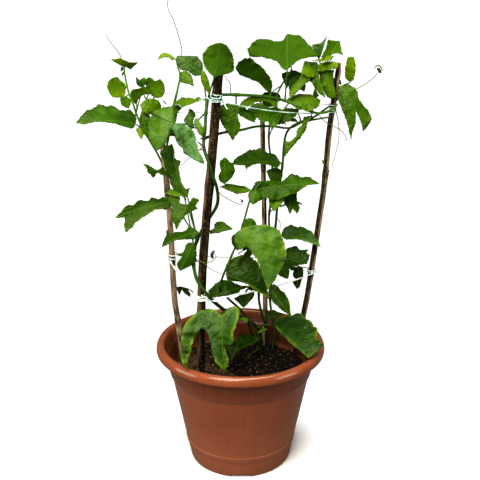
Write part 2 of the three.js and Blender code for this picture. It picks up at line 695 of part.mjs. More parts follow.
            right: [[1, 11], [20, 16]] },
          { at: 0.9, base: [-187, 8, 661], tip: [-183, 0, 641], face: [-0.18, 0.97, 0.19],
            arch: 0, fold: 15, sweep: 0,
            left: [[1, 11], [14, 11]],
            right: [[10, 6]] },
          { at: 0.78, base: [-162, 30, 671], tip: [-159, 28, 689], face: [0, -0.91, 0.41],
            arch: 0.03, fold: 10, sweep: 0,
            left: [[3, 11], [17, 15], [12, 8]],
            right: [[8, 4], [14, 5]] },
          { at: 0.74, base: [-169, 10, 609], tip: [-165, 0, 589], face: [0, -0.91, 0.41],
            arch: 0.03, fold: 10, sweep: 0,
            left: [[11, 7]],
            right: [[2, 6]] },
          { at: 0.75, base: [-153, 34, 662], tip: [-134, 38, 685], face: [0, 0.98, 0.21],
            arch: 0.05, fold: 10, sweep: 0,
            left: [[0, 13], [20, 19]],
            right: [[6, 11], [22, 15]] },
          { at: 0.78, base: [-172, 18, 643], tip: [-150, 24, 675], face: [0.1, 0.7, 0.7],
            arch: 0.05, fold: 10, sweep: -0.18,
            left: [[11, 2], [20, 7], [29, 14]],
            right: [[4, 11], [14, 19], [28, 7]] },
          { at: 0.71, base: [-174, 10, 614], tip: [-262, -46, 625], face: [-0.04, -0.59, 0.8],
            arch: 0.06, fold: 4, sweep: 0,
            left: [[12, 14], [25, 12], [50, 5], [71, 2], [91, 5]],
            right: [[-11, 26], [-4, 41], [7, 39], [20, 30], [28, 42], [40, 46], [60, 39],
              [83, 24]] },
          { at: 0.71, base: [-161, -2, 638], tip: [-154, -10, 595], face: [0, -0.93, 0.36],
            arch: 0.05, fold: 10, sweep: 0,
            left: [[6, 10], [20, 13], [37, 7]],
            right: [[14, 8], [32, 6]] },
          { at: 0.7, base: [-132, 2, 635], tip: [-163, -8, 649], face: [0, -0.88, 0.47],
            arch: 0.15, fold: 12, sweep: 0,
            left: [[13, 10], [23, 12], [32, 7]],
            right: [[0, 13], [10, 18], [22, 16], [30, 11]] },
          { at: 0.48, base: [-112, 15, 518], tip: [-162, -13, 553], face: [-0.05, -0.82, 0.57],
            arch: 0.03, fold: 15, sweep: 0.03,
            left: [[25, 2], [37, 3], [40, 13], [50, 10]],
            right: [[25, 11], [32, 16], [38, 3], [58, 2]] },
          { at: 0.25, base: [-113, 76, 298], tip: [-96, 96, 269], face: [0.1, 0.7, 0.7],
            width: 0.42, shape: "lobed", arch: 0.1, fold: 12, sweep: 0 },
          { at: 0.35, base: [-118, 76, 405], tip: [-94, 104, 381], face: [0.1, 0.6, 0.8],
            width: 0.42, shape: "lobed", arch: 0.12, fold: 12, sweep: 0 },
          { at: 0.45, base: [-122, 70, 482], tip: [-115, 104, 450], face: [0, 0.6, 0.8],
            width: 0.42, shape: "lobed", arch: 0.1, fold: 12, sweep: 0 },
        ],
        tendrils: [
          [[-188, 6, 696], [-194, 4, 727], [-205, 0, 743], [-214, -4, 759]],
        ],
      },
      {
        rooted: false,
        radius: 1.9,
        path: [
          [-136, 43, 537], [-128, 45, 563], [-120, 40, 606], [-111, 30, 644], [-100, 24, 688],
          [-102, 22, 704], [-104, 20, 717],
        ],
        leaves: [
          { at: 0.55, base: [-109, -22, 647], tip: [-133, -52, 582], face: [-0.15, -0.9, 0.4],
            arch: 0.08, fold: 12, sweep: 0,
            left: [[6, 10], [26, 15], [38, 10], [55, 11], [69, 6]],
            right: [[6, 21], [24, 31], [51, 26], [67, 15]] },
          { at: 0.44, base: [-126, -14, 622], tip: [-94, -34, 646], face: [0, -0.8, 0.6],
            arch: 0.08, fold: 12, sweep: 0,
            left: [[-5, 18], [14, 17], [38, 12]],
            right: [[20, 12], [27, 7]] },
          { at: 0.84, base: [-106, 20, 719], tip: [-135, 16, 717], face: [-0.05, -0.82, 0.57],
            arch: 0.05, fold: 10, sweep: -0.22,
            left: [[6, 6], [12, 3], [22, 2]],
            right: [[5, 3], [14, 6], [24, 7]] },
          { at: 0.69, base: [-97, 18, 698], tip: [-75, 2, 677], face: [0.1, -0.86, 0.5],
            arch: 0.05, fold: 18, sweep: 0,
            left: [[1, 9], [14, 10]],
            right: [[7, 8], [13, 12], [24, 6]] },
          { at: 0.41, base: [-116, 22, 614], tip: [-125, 14, 592], face: [-0.2, -0.9, 0.3],
            width: 0.6, shape: "oval", arch: 0.05, fold: 10, sweep: 0 },
          { at: 0.25, base: [-116, 66, 591], tip: [-101, 98, 567], face: [0.2, 0.6, 0.75],
            width: 0.4, shape: "oval", arch: 0.12, fold: 12, sweep: 0 },
        ],
        tendrils: [
          [[-104, 20, 717], [-95, 14, 733], [-105, 8, 776], [-114, 6, 796], [-115, 6, 809],
            [-111, 6, 813]],
        ],
      },
    ],
  },
  vine_middle: {
    young: false,
    stems: [
      {
        rooted: true,
        radius: 2.2,
        path: [
          [30, 82, 167], [22, 74, 203], [6, 54, 253], [-19, 0, 303], [-35, -38, 337],
          [-31, -44, 361], [-18, -50, 396], [-4, -52, 432], [6, -48, 465], [14, -42, 493],
          [21, -38, 510], [35, -30, 527],
        ],
        leaves: [
          { at: 0.92, base: [-26, -70, 532], tip: [-25, -66, 575], face: [0.1, -0.95, 0.3],
            arch: 0.04, fold: 12, sweep: 0,
            left: [[5, 7], [13, 9], [22, 6], [35, 8]],
            right: [[9, 11], [18, 17], [31, 14]] },
          { at: 0.91, base: [17, -44, 514], tip: [-34, -66, 526], face: [0, -0.8, 0.6],
            arch: 0.03, fold: 10, sweep: 0,
            left: [[13, 6], [31, 8]],
            right: [[8, 6], [19, 7], [45, 5]] },
          { at: 1, base: [17, -34, 511], tip: [133, -8, 516], face: [0, -0.6, 0.8],
            arch: 0.05, fold: 10, sweep: 0,
            left: [[7, 10], [16, 20], [33, 17], [54, 11], [69, 22], [84, 24], [103, 18]],
            right: [[-3, 24], [14, 19], [30, 24], [51, 22], [75, 15], [97, 3]] },
          { at: 0.95, base: [25, -44, 514], tip: [19, -58, 494], face: [0, -0.8, 0.55],
            width: 0.42, shape: "oval", arch: 0.05, fold: 12, sweep: 0 },
          { at: 1, base: [59, -22, 510], tip: [55, -50, 480], face: [0, -0.78, 0.62],
            arch: 0.05, fold: 10, sweep: 0,
            left: [[12, 15], [28, 11]],
            right: [[13, 9], [28, 9]] },
          { at: 0.68, base: [-4, -76, 455], tip: [44, -112, 368], face: [-0.2, -0.88, 0.42],
            arch: 0.06, fold: 14, sweep: 0.12,
            left: [[-1, 17], [5, 32], [13, 44], [30, 50], [51, 46], [73, 41], [86, 28],
              [97, 16]],
            right: [[4, 12], [16, 20], [28, 22], [29, 10], [40, 8], [52, 7], [70, 5],
              [85, 6]] },
          { at: 0.73, base: [11, -64, 455], tip: [20, -60, 471], face: [0, -0.9, 0.4],
            width: 0.6, shape: "round", arch: 0, fold: 10, sweep: 0 },
          { at: 0.66, base: [-8, -64, 444], tip: [-5, -68, 418], face: [-0.3, -0.9, 0.3],
            width: 0.34, shape: "oval", arch: 0.05, fold: 12, sweep: 0 },
          { at: 0.6, base: [-24, -62, 374], tip: [48, -74, 337], face: [0, -0.96, 0.29],
            arch: 0.05, fold: 12, sweep: 0.06,
            left: [[-8, 19], [-4, 32], [12, 43], [35, 39], [55, 28]],
            right: [[6, 10], [20, 5], [36, 2], [54, 4]] },
          { at: 0.56, base: [47, -48, 345], tip: [85, -80, 304], face: [0.2, -0.72, 0.66],
            arch: 0.05, fold: 12, sweep: 0,
            left: [[-1, 14], [14, 18], [35, 17]],
            right: [[15, 9], [35, 9], [51, 4]] },
          { at: 0.48, base: [4, -26, 338], tip: [-51, -40, 323], face: [0, -0.8, 0.6],
            arch: 0.1, fold: 10, sweep: 0,
            left: [[12, 8], [30, 7], [45, 4]],
            right: [[10, 11], [20, 20], [36, 23], [58, 14]] },
        ],
      },
    ],
  },
  vine_right: {
    young: false,
    stems: [
      {
        rooted: true,
        radius: 2.2,
        path: [
          [55, 84, 166], [47, 80, 216], [34, 66, 280], [41, 45, 343], [54, 30, 396],
          [61, 26, 430], [63, 22, 459], [66, 16, 500], [71, 12, 544], [73, 14, 578],
          [78, 16, 600], [93, 24, 612], [121, 36, 620], [146, 68, 630], [161, 71, 640],
          [168, 69, 651], [165, 66, 666], [150, 64, 680], [137, 50, 698],
        ],
        leaves: [
          { at: 0.99, base: [130, 44, 715], tip: [143, 38, 756], face: [-0.1, -0.93, 0.36],
            arch: 0.05, fold: -10, sweep: 0.03,
            left: [[11, 10], [20, 18], [29, 5]],
            right: [[11, 2], [25, 2]] },
          { at: 0.99, base: [150, 46, 723], tip: [166, 60, 745], face: [0.03, 1, -0.07],
            arch: 0.12, fold: 15, sweep: 0,
            left: [[10, 7], [12, 18], [21, 10]],
            right: [[-32, 14], [4, 14], [20, 19]] },
          { at: 0.99, base: [153, 36, 722], tip: [115, 20, 717], face: [0, -0.3, 0.95],
            arch: 0.03, fold: 8, sweep: 0.14,
            left: [[17, 7], [28, 7]],
            right: [[7, 12], [27, 2]] },
          { at: 0.89, base: [185, 54, 677], tip: [183, 44, 721], face: [-0.21, -0.95, 0.21],
            arch: 0.05, fold: -20, sweep: 0,
            left: [[9, 8], [26, 9], [42, 6]],
            right: [[9, 7], [29, 10], [43, 6]] },
          { at: 0.84, base: [166, 42, 672], tip: [193, 24, 634], face: [-0.1, -0.91, 0.4],
            arch: 0.05, fold: 10, sweep: 0.06,
            left: [[4, 14], [22, 17], [40, 13], [70, 25], [81, 20], [84, 6], [64, 2]],
            right: [[11, 14], [36, 21], [62, 21], [85, 18], [68, 8]] },
          { at: 1, base: [162, 34, 709], tip: [124, 26, 707], face: [0, -0.71, 0.71],
            arch: 0.03, fold: 18, sweep: 0,
            left: [[2, 6], [17, 9], [36, 10]],
            right: [[-1, 6], [21, 9]] },
          { at: 0.99, base: [142, 34, 700], tip: [151, 26, 653], face: [0, -0.97, 0.25],
            arch: 0.05, fold: 12, sweep: 0,
            left: [[2, 13], [18, 9], [47, 9]],
            right: [[-1, 13], [14, 13], [40, 8]] },
          { at: 0.99, base: [111, 18, 695], tip: [81, 0, 656], face: [-0.1, -0.94, 0.31],
            arch: 0, fold: 12, sweep: 0,
            left: [[5, 7], [19, 5]],
            right: [[1, 10], [18, 10], [39, 10]] },
          { at: 0.99, base: [120, 24, 714], tip: [140, 12, 656], face: [-0.21, -0.93, 0.31],
            arch: 0, fold: 12, sweep: -0.03,
            left: [[2, 7], [24, 3], [45, 3]],
            right: [[0, 7], [22, 12], [41, 10]] },
          { at: 0.99, base: [125, 30, 704], tip: [98, 8, 697], face: [0, -0.92, 0.4],
            arch: 0.04, fold: 15, sweep: 0,
            left: [[8, 14], [24, 11]],
            right: [[-1, 15], [14, 18]] },
          { at: 0.65, base: [83, 44, 662], tip: [97, 36, 692], face: [0.21, -0.93, 0.31],
            arch: 0.05, fold: 15, sweep: 0.06,
            left: [[6, 4], [19, 8]],
            right: [[15, 2], [26, 2]] },
          { at: 0.68, base: [128, 50, 652], tip: [124, 36, 670], face: [0, -0.95, 0.32],
            arch: 0, fold: 10, sweep: 0,
            left: [[8, 5]],
            right: [[1, 6]] },
          { at: 0.47, base: [68, 8, 549], tip: [-14, -40, 556], face: [-0.05, -0.51, 0.86],
            arch: 0.05, fold: 6, sweep: 0,
            left: [[17, 16], [32, 9], [50, 6], [67, 10], [76, 17], [75, 6]],
            right: [[-3, 22], [9, 36], [28, 41], [48, 34], [83, 14]] },
          { at: 0.42, base: [69, 10, 522], tip: [43, 0, 537], face: [0, -0.9, 0.4],
            width: 0.42, shape: "oval", arch: 0.05, fold: 10, sweep: 0 },
          { at: 0.39, base: [84, 4, 501], tip: [83, -24, 468], face: [0, -0.82, 0.57],
            arch: 0.05, fold: 12, sweep: 0,
            left: [[0, 12], [20, 13], [31, 17], [42, 12], [34, 5]],
            right: [[15, 12], [28, 7], [38, 3]] },
          { at: 0.28, base: [71, 14, 419], tip: [138, -18, 407], face: [0.05, -0.6, 0.8],
            arch: 0.05, fold: 12, sweep: 0.03,
            left: [[-5, 21], [5, 31], [24, 31], [45, 26]],
            right: [[12, 8], [31, 4], [51, 2]] },
          { at: 0.24, base: [81, 24, 373], tip: [117, 10, 367], face: [0, -0.96, 0.29],
            arch: 0.03, fold: 12, sweep: 0,
            left: [[-6, 17], [10, 26], [20, 21], [34, 27], [32, 19], [40, 17]],
            right: [[-1, 11], [15, 20], [19, 9]] },
          { at: 0.22, base: [70, 16, 363], tip: [84, 6, 340], face: [0, -0.8, 0.5],
            width: 0.4, shape: "oval", arch: 0.05, fold: 10, sweep: 0 },
          { at: 0.22, base: [106, 44, 351], tip: [102, 34, 310], face: [0, -0.86, 0.51],
            arch: 0.05, fold: 10, sweep: 0,
            left: [[3, 7], [15, 9], [36, 5]],
            right: [[6, 8], [18, 10], [24, 4], [30, 10]] },
          { at: 0.17, base: [24, 10, 316], tip: [6, -6, 290], face: [0, -0.86, 0.51],
            arch: 0.05, fold: 12, sweep: 0,
            left: [[10, 5]],
            right: [[14, 14], [30, 25]] },
          { at: 0.1, base: [44, 78, 232], tip: [82, 82, 238], face: [0.1, -0.86, 0.5],
            arch: 0.1, fold: 12, sweep: 0,
            left: [[8, 10], [21, 14]],
            right: [[10, 2]] },
          { at: 0.84, base: [184, 80, 647], tip: [208, 104, 619], face: [0.3, 0.6, 0.7],
            width: 0.42, shape: "lobed", arch: 0.12, fold: 12, sweep: 0 },
          { at: 0.92, base: [159, 82, 681], tip: [158, 116, 660], face: [0, 0.6, 0.8],
            width: 0.46, shape: "lobed", arch: 0.12, fold: 12, sweep: 0 },
        ],
        tendrils: [
          [[167, 68, 656], [198, 60, 666], [221, 58, 681], [230, 56, 691], [235, 55, 696],
            [233, 54, 701], [230, 54, 700], [230, 55, 697]],
          [[161, 70, 640], [170, 74, 608], [172, 72, 575], [165, 72, 543], [161, 72, 527]],
          [[62, 23, 449], [68, 10, 444], [68, 4, 432], [65, 0, 422]],
        ],
      },
    ],
  },
  vine_rear: {
    young: false,
    stems: [
      {
        rooted: true,
        radius: 2.2,
        path: [
          [62, 84, 164], [66, 94, 196], [57, 112, 257], [62, 114, 338], [53, 112, 417],
          [60, 112, 494], [51, 112, 568], [56, 108, 622], [69, 98, 662], [88, 84, 695],
        ],
        leaves: [
          { at: 0.3, base: [30, 120, 278], tip: [-17, 142, 261], face: [-0.1, 0.6, 0.8],
            width: 0.4, shape: "lobed", arch: 0.12, fold: 12, sweep: 0 },
          { at: 0.4, base: [85, 128, 328], tip: [116, 140, 295], face: [0.2, 0.6, 0.75],
            width: 0.44, shape: "lobed", arch: 0.12, fold: 12, sweep: 0 },
          { at: 0.45, base: [33, 128, 367], tip: [7, 146, 322], face: [-0.2, 0.75, 0.6],
            width: 0.42, shape: "lobed", arch: 0.1, fold: 12, sweep: 0 },
          { at: 0.52, base: [79, 126, 442], tip: [118, 142, 438], face: [0.2, 0.55, 0.8],
            width: 0.4, shape: "lobed", arch: 0.14, fold: 12, sweep: 0 },
          { at: 0.58, base: [40, 130, 470], tip: [30, 156, 438], face: [-0.1, 0.6, 0.8],
            width: 0.42, shape: "lobed", arch: 0.12, fold: 12, sweep: 0 },
          { at: 0.65, base: [39, 126, 532], tip: [5, 140, 529], face: [-0.2, 0.6, 0.75],
            width: 0.36, shape: "oval", arch: 0.14, fold: 12, sweep: 0 },
          { at: 0.71, base: [69, 124, 605], tip: [105, 146, 594], face: [0.1, 0.65, 0.75],
            width: 0.44, shape: "lobed", arch: 0.1, fold: 12, sweep: 0 },
          { at: 0.81, base: [40, 124, 616], tip: [12, 150, 601], face: [-0.2, 0.6, 0.8],
            width: 0.42, shape: "lobed", arch: 0.12, fold: 12, sweep: 0 },
          { at: 0.91, base: [56, 112, 653], tip: [46, 140, 614], face: [-0.1, 0.75, 0.6],
            width: 0.4, shape: "oval", arch: 0.1, fold: 12, sweep: 0 },
          { at: 0.95, base: [86, 100, 690], tip: [114, 130, 651], face: [0.2, 0.7, 0.65],
            width: 0.46, shape: "lobed", arch: 0.12, fold: 12, sweep: 0 },
          { at: 1, base: [85, 88, 708], tip: [58, 108, 726], face: [-0.2, 0.7, 0.7],
            width: 0.46, shape: "lobed", arch: 0.08, fold: 12, sweep: 0 },
        ],
      },
    ],
  },
  vine_low: {
    young: false,
    stems: [
      {
        rooted: true,
        radius: 2,
        path: [
          [39, 68, 168], [41, 60, 195], [29, 48, 215], [32, 38, 233], [50, 32, 242],
        ],
        leaves: [
          { at: 0.86, base: [62, 4, 251], tip: [116, -84, 231], face: [-0.2, -0.5, 0.84],
            arch: 0.06, fold: 10, sweep: 0,
            left: [[-16, 13], [-15, 28], [-5, 44], [4, 53], [32, 53], [63, 51], [79, 37],
              [99, 38], [104, 17]],
            right: [[26, 5], [52, 5], [77, 4]] },
          { at: 0.52, base: [30, 26, 209], tip: [-9, -6, 206], face: [0, -0.86, 0.51],
            arch: 0.05, fold: 14, sweep: -0.03,
            left: [[18, 2], [35, 3]],
            right: [[4, 18], [16, 25], [35, 21]] },
          { at: 0.52, base: [-5, -4, 215], tip: [-17, -26, 196], face: [-0.1, -0.86, 0.5],
            arch: 0.05, fold: 12, sweep: 0,
            left: [[5, 7]],
            right: [[3, 24], [19, 9]] },
          { at: 0.6, base: [15, 10, 260], tip: [-3, 4, 265], face: [0, -0.71, 0.71],
            arch: 0.1, fold: 10, sweep: 0,
            left: [[4, 6]],
            right: [[8, 4]] },
        ],
      },
    ],
  },
};

function stemCurveOf(stem) {
  const [x, y, z] = stem.path[0];
  return curveThrough(stem.rooted ? [[x, y, z - STEM_DEPTH], ...stem.path] : stem.path);
}

function stemTube(stem, grow = 0) {
  const curve = stemCurveOf(stem);
  const steps = 2 * (curve.points.length - 1);
  return toSolid(tube(curve, steps, STEM_SIDES, (t) => stem.radius * (1.1 - 0.45 * t) + grow));
}

function vineSolid({ stems }) {
  const solids = [];
  for (const stem of stems) {
    const curve = stemCurveOf(stem);
    solids.push(stemTube(stem));
    for (const leaf of stem.leaves) {
      solids.push(leafSolid(curve, leaf, stem.radius > STOUT_STEM ? 1.1 : 0.9));
    }
    for (const route of stem.tendrils ?? []) {
      const tendril = tube(curveThrough(route), Math.round(1.6 * (route.length - 1)), TENDRIL_SIDES, (t) =>
        TENDRIL_RADIUS * (1.3 - 0.3 * t),
      );
      solids.push(toSolid(tendril));
    }
  }
  return join(solids);
}

// ---- Soil ----
function soilTop(x, y) {
  const broad = Math.sin(0.11 * x + 1) * Math.cos(0.13 * y);
  const lumps = broad + 0.6 * Math.sin(0.31 * x) * Math.sin(0.27 * y + 2);
  return SOIL_HEIGHT + SOIL_TILT * x + SOIL_LUMP * lumps;
}

function makeSoil() {
  const edge = (z) => innerRadius(z) - CLEARANCE - 0.4;
  const low = FLOOR + CLEARANCE;
  const rings = [0, 0.35, 0.7];
  const brim = SOIL_HEIGHT - 3;
  const profile = [
    [0, low],
    [edge(low) - 4, low],
    [edge(low + 5), low + 5],
    [edge(brim), brim],
    ...rings.map((share) => [share * edge(brim), SOIL_HEIGHT]).reverse(),
  ];
  const geometry = lathe(profile, 26);
  const place = geometry.attributes.position;
  for (let i = 0; i < place.count; i++) {
    if (place.getZ(i) > brim + 1) place.setZ(i, soilTop(place.getX(i), place.getY(i)));
  }
  let soil = toSolid(geometry).subtract(channelCovers(CLEARANCE));
  for (const stake of Object.values(STAKES)) soil = soil.subtract(stakeSolid(stake, CLEARANCE));
  for (const vine of Object.values(VINES)) {
    for (const stem of vine.stems.filter((s) => s.rooted)) {
      const foot = { ...stem, path: stem.path.slice(0, 3) };
      soil = soil.subtract(stemTube(foot, STEM_HOLE_GAP));
    }
  }
  return soil;
}

// ---- The whole plant ----
const plant = new THREE.Group();
plant.name = "potted_passion_flower_vine";
plant.add(piece("pot", makePot(), POT_PLASTIC));
plant.add(piece("soil", makeSoil(), SOIL));
for (const [name, stake] of Object.entries(STAKES)) {
  plant.add(piece(name, stakeSolid(stake), stake.dark ? DARK_BARK : TAN_BARK));
}
for (const [name, ring] of Object.entries(TWINE_RINGS)) plant.add(piece(name, twineSolid(ring), TWINE));
for (const [name, vine] of Object.entries(VINES)) {
  plant.add(piece(name, vineSolid(vine), vine.young ? SHOOT_GREEN : LEAF_GREEN));
}

export default plant;
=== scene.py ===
"""A potted passion flower vine: glossy terracotta-coloured pot, soil, four wood stakes, two rings of twine
and six leafy stems. Tables are in millimetres, in the model's own frame, and MM turns them into metres."""

import math

import bpy
import numpy as np
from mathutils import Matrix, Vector, geometry, noise


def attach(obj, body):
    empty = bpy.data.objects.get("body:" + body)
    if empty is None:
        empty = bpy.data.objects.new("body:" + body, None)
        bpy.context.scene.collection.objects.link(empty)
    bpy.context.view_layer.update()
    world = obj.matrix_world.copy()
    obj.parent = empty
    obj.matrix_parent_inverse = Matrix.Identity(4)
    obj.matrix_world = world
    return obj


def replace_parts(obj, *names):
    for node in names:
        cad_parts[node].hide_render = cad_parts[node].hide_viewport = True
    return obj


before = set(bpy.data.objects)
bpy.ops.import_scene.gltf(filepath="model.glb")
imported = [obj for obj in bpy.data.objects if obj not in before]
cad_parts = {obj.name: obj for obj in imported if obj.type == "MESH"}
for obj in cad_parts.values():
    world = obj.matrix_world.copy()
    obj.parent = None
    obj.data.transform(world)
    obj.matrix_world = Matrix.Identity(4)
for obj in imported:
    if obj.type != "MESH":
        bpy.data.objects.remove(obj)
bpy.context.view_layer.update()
MM = 0.001
RANDOM = np.random.default_rng(7)

# ---- Sizes, in millimetres, or shares where they say so ----
STEM_DEPTH = 25
STEM_SWELL = 0.28  # at a node, as a share of the stem's radius
STOUT_STEM = 2.4  # thicker stems bear stouter petioles
PETIOLE_RADIUS = 1.25
PETIOLE_RISE = 0.1  # as a share of its length
TENDRIL_RADIUS = 0.55

BLADE_THICKNESS = 0.7
RUFFLE = 0.028  # how far a blade's edge waves, as a share of its length
FINE_RUFFLE = 0.011
RUFFLES = 3.4  # waves along an edge
PUCKER = 1.7
QUILT = 0.35  # how far the blade bulges between two side veins
TOOTH_PITCH = 5.2
TOOTH_HEIGHT = 0.85
VEIN_BEND = 0.62
VEIN_CURVE = 1.25

STAKE_DEPTH = 60
STAKE_LEAN = 0.87  # how near the axis its buried end is, as a share of its foot's distance
STAKE_STEPS = 170
STAKE_SIDES = 24
TWIST_PITCH = 3.4
TURN_POINTS = 18  # along the twine, for each turn round a stake
SAG_POINTS = 12

SOIL_HEIGHT = 166
SOIL_TILT = -0.025
CRUST_RADIUS = 121.5
CRUST_RINGS = 60
CRUST_SIDES = 180
CRUST_RISE = 1.6
CRUST_DEPTH = 4
CRUMB_HEIGHT = 2.3
CRUMB_SIZE = 9
CHIPS = 2600
CHIP_REACH = 117

RIM_RADIUS = 151
POT_HEIGHT = 226
BASE_RADIUS = 92
WALL = 3
WALL_SLOPE = 0.195
UPPER_SLOPE = 0.035  # how much less the wall leans above the shoulder
LIP_HEIGHT = 16
LIP_INNER_RADIUS = 137
SHOULDER_HEIGHT = 168
SHOULDER_STEP = 2.5
FOOT_BAND = (31, 44)
FOOT_BAND_PROUD = 0.8
NOTCH_WIDTH = 32
NOTCH_HEIGHT = 6
CHANNEL_START = 40
SLOT_ANGLES = (168, -38, 65)
SLOT_SIZE = (3.2, 7, 12)
SLOT_PLACE = 143
POT_SIDES = 224
SHARP_EDGE = math.radians(38)

# ---- Camera, at the photograph's view ----
CAMERA_PLACE = (0, -1.296, 0.840)
CAMERA_PITCH = math.radians(90) - 0.317
CAMERA_LENS = 59.22
CAMERA_SHIFT = -0.5 / 480

camera = bpy.data.objects.new("camera", bpy.data.cameras.new("camera"))
camera.data.lens = CAMERA_LENS
camera.data.sensor_width = 36
camera.data.shift_x = CAMERA_SHIFT
camera.location = CAMERA_PLACE
camera.rotation_euler = (CAMERA_PITCH, 0, 0)
bpy.context.scene.collection.objects.link(camera)
bpy.context.scene.camera = camera

# ---- Where things are ----
# peel is how much of the bark has gone, and peel_way the side that it has gone from, in degrees.
STAKES = {
    "stake_front": dict(
        foot=(-66, -80, 166), radius=6.4, taper=-0.12, joints=[0.35, 0.62, 0.8],
        dark=True, peel=0.12, peel_way=-160,
        path=[(-66, -80, 300), (-60, -80, 420), (-45, -80, 575), (-35, -80, 690), (-34, -80, 712)],
    ),
    "stake_left": dict(
        foot=(-106, 32, 166), radius=5.3, taper=0.1, joints=[0.27, 0.33, 0.6, 0.78],
        dark=False, peel=0.7, peel_way=-60,
        path=[(-115, 31, 253), (-120, 31, 302), (-123, 31, 420), (-129, 31, 530), (-138, 31, 638)],
    ),
    "stake_right": dict(
        foot=(101, 46, 166), radius=5.2, taper=0.12, joints=[0.4, 0.7],
        dark=False, peel=0.22, peel_way=-20,
        path=[(122, 51, 286), (136, 51, 402), (147, 51, 500), (153, 51, 600), (166, 51, 710)],
    ),
    "stake_back": dict(
        foot=(46, 100, 166), radius=4.7, taper=0.16, joints=[0.5, 0.75],
        dark=False, peel=0.35, peel_way=-150,
        path=[(47, 98, 270), (44, 95, 420), (40, 92, 555), (38, 92, 640)],
    ),
}

# Each turn is a stake, a height, how far the run after it sags, the winds round the stake and how far they
# climb. whiteness runs from green to white, and loose holds strands that hang free of the ring.
TWINE_RINGS = {
    "twine_upper": {
        "turns": [
            ("stake_front", 671, 8, 2, -7),
            ("stake_right", 635, 3, 4, 14),
            ("stake_back", 627, 2, 2, -5),
            ("stake_left", 627, 0, 2, -5),
        ],
        "tail": (-20, -94, 655),
        "radius": 0.9,
        "whiteness": 0.1,
        "loose": [
            [(-42, -91, 677), (-37, -93, 675), (-33, -93, 676), (-30, -91, 673), (-34, -92, 670),
             (-40, -92, 671)],
        ],
    },
    "twine_lower": {
        "turns": [
            ("stake_front", 345, 8, 2, -8),
            ("stake_right", 339, 3, 3, 6),
            ("stake_back", 345, 4, 2, 5),
            ("stake_left", 374, -2, 3, -14),
        ],
        "tail": (-50, -94, 330),
        "radius": 1.25,
        "whiteness": 0.85,
        "loose": [
            [(-125, 24, 370), (-116, 12, 357), (-100, -10, 352), (-86, -40, 349), (-73, -72, 349),
             (-63, -88, 347), (-54, -90, 342), (-39, -86, 336), (-21, -74, 334)],
        ],
    },
}

# Half outlines, as places along the blade and across it, in shares of its length and half width.
OUTLINES = {
    "oval": [(-0.06, 0.34), (0.06, 0.8), (0.28, 1), (0.54, 0.92), (0.77, 0.54), (0.92, 0.19)],
    "round": [(-0.08, 0.4), (0.1, 0.86), (0.4, 1.02), (0.74, 0.82), (0.95, 0.38)],
    "lobed": [(-0.12, 0.22), (-0.03, 0.62), (0.36, 0.92), (0.74, 1.04), (0.56, 0.7), (0.42, 0.37),
              (0.64, 0.4), (0.84, 0.28)],
}
# An outline point stays sharp where the edge turns by more than this.
SHARP_TURN = math.radians(70)

# How a leaf is given: the share of its stem that it hangs at, its base and tip, the way its upper side
# looks, its bend (arch, fold in degrees, sweep), its look (tone from dark to bright, how far its edge has
# yellowed, how much painted sheen its blade gets), and its two half outlines in millimetres, along the
# blade and out from its midrib, or else one of the shapes above and its half width as a share of its
# length.
def leaf(at, base, tip, face, bend, look, **outline):
    arch, fold, sweep = bend
    tone, yellow, bloom = look
    return dict(at=at, base=base, tip=tip, face=face, arch=arch, fold=fold, sweep=sweep, tone=tone,
                yellow=yellow, bloom=bloom, **outline)


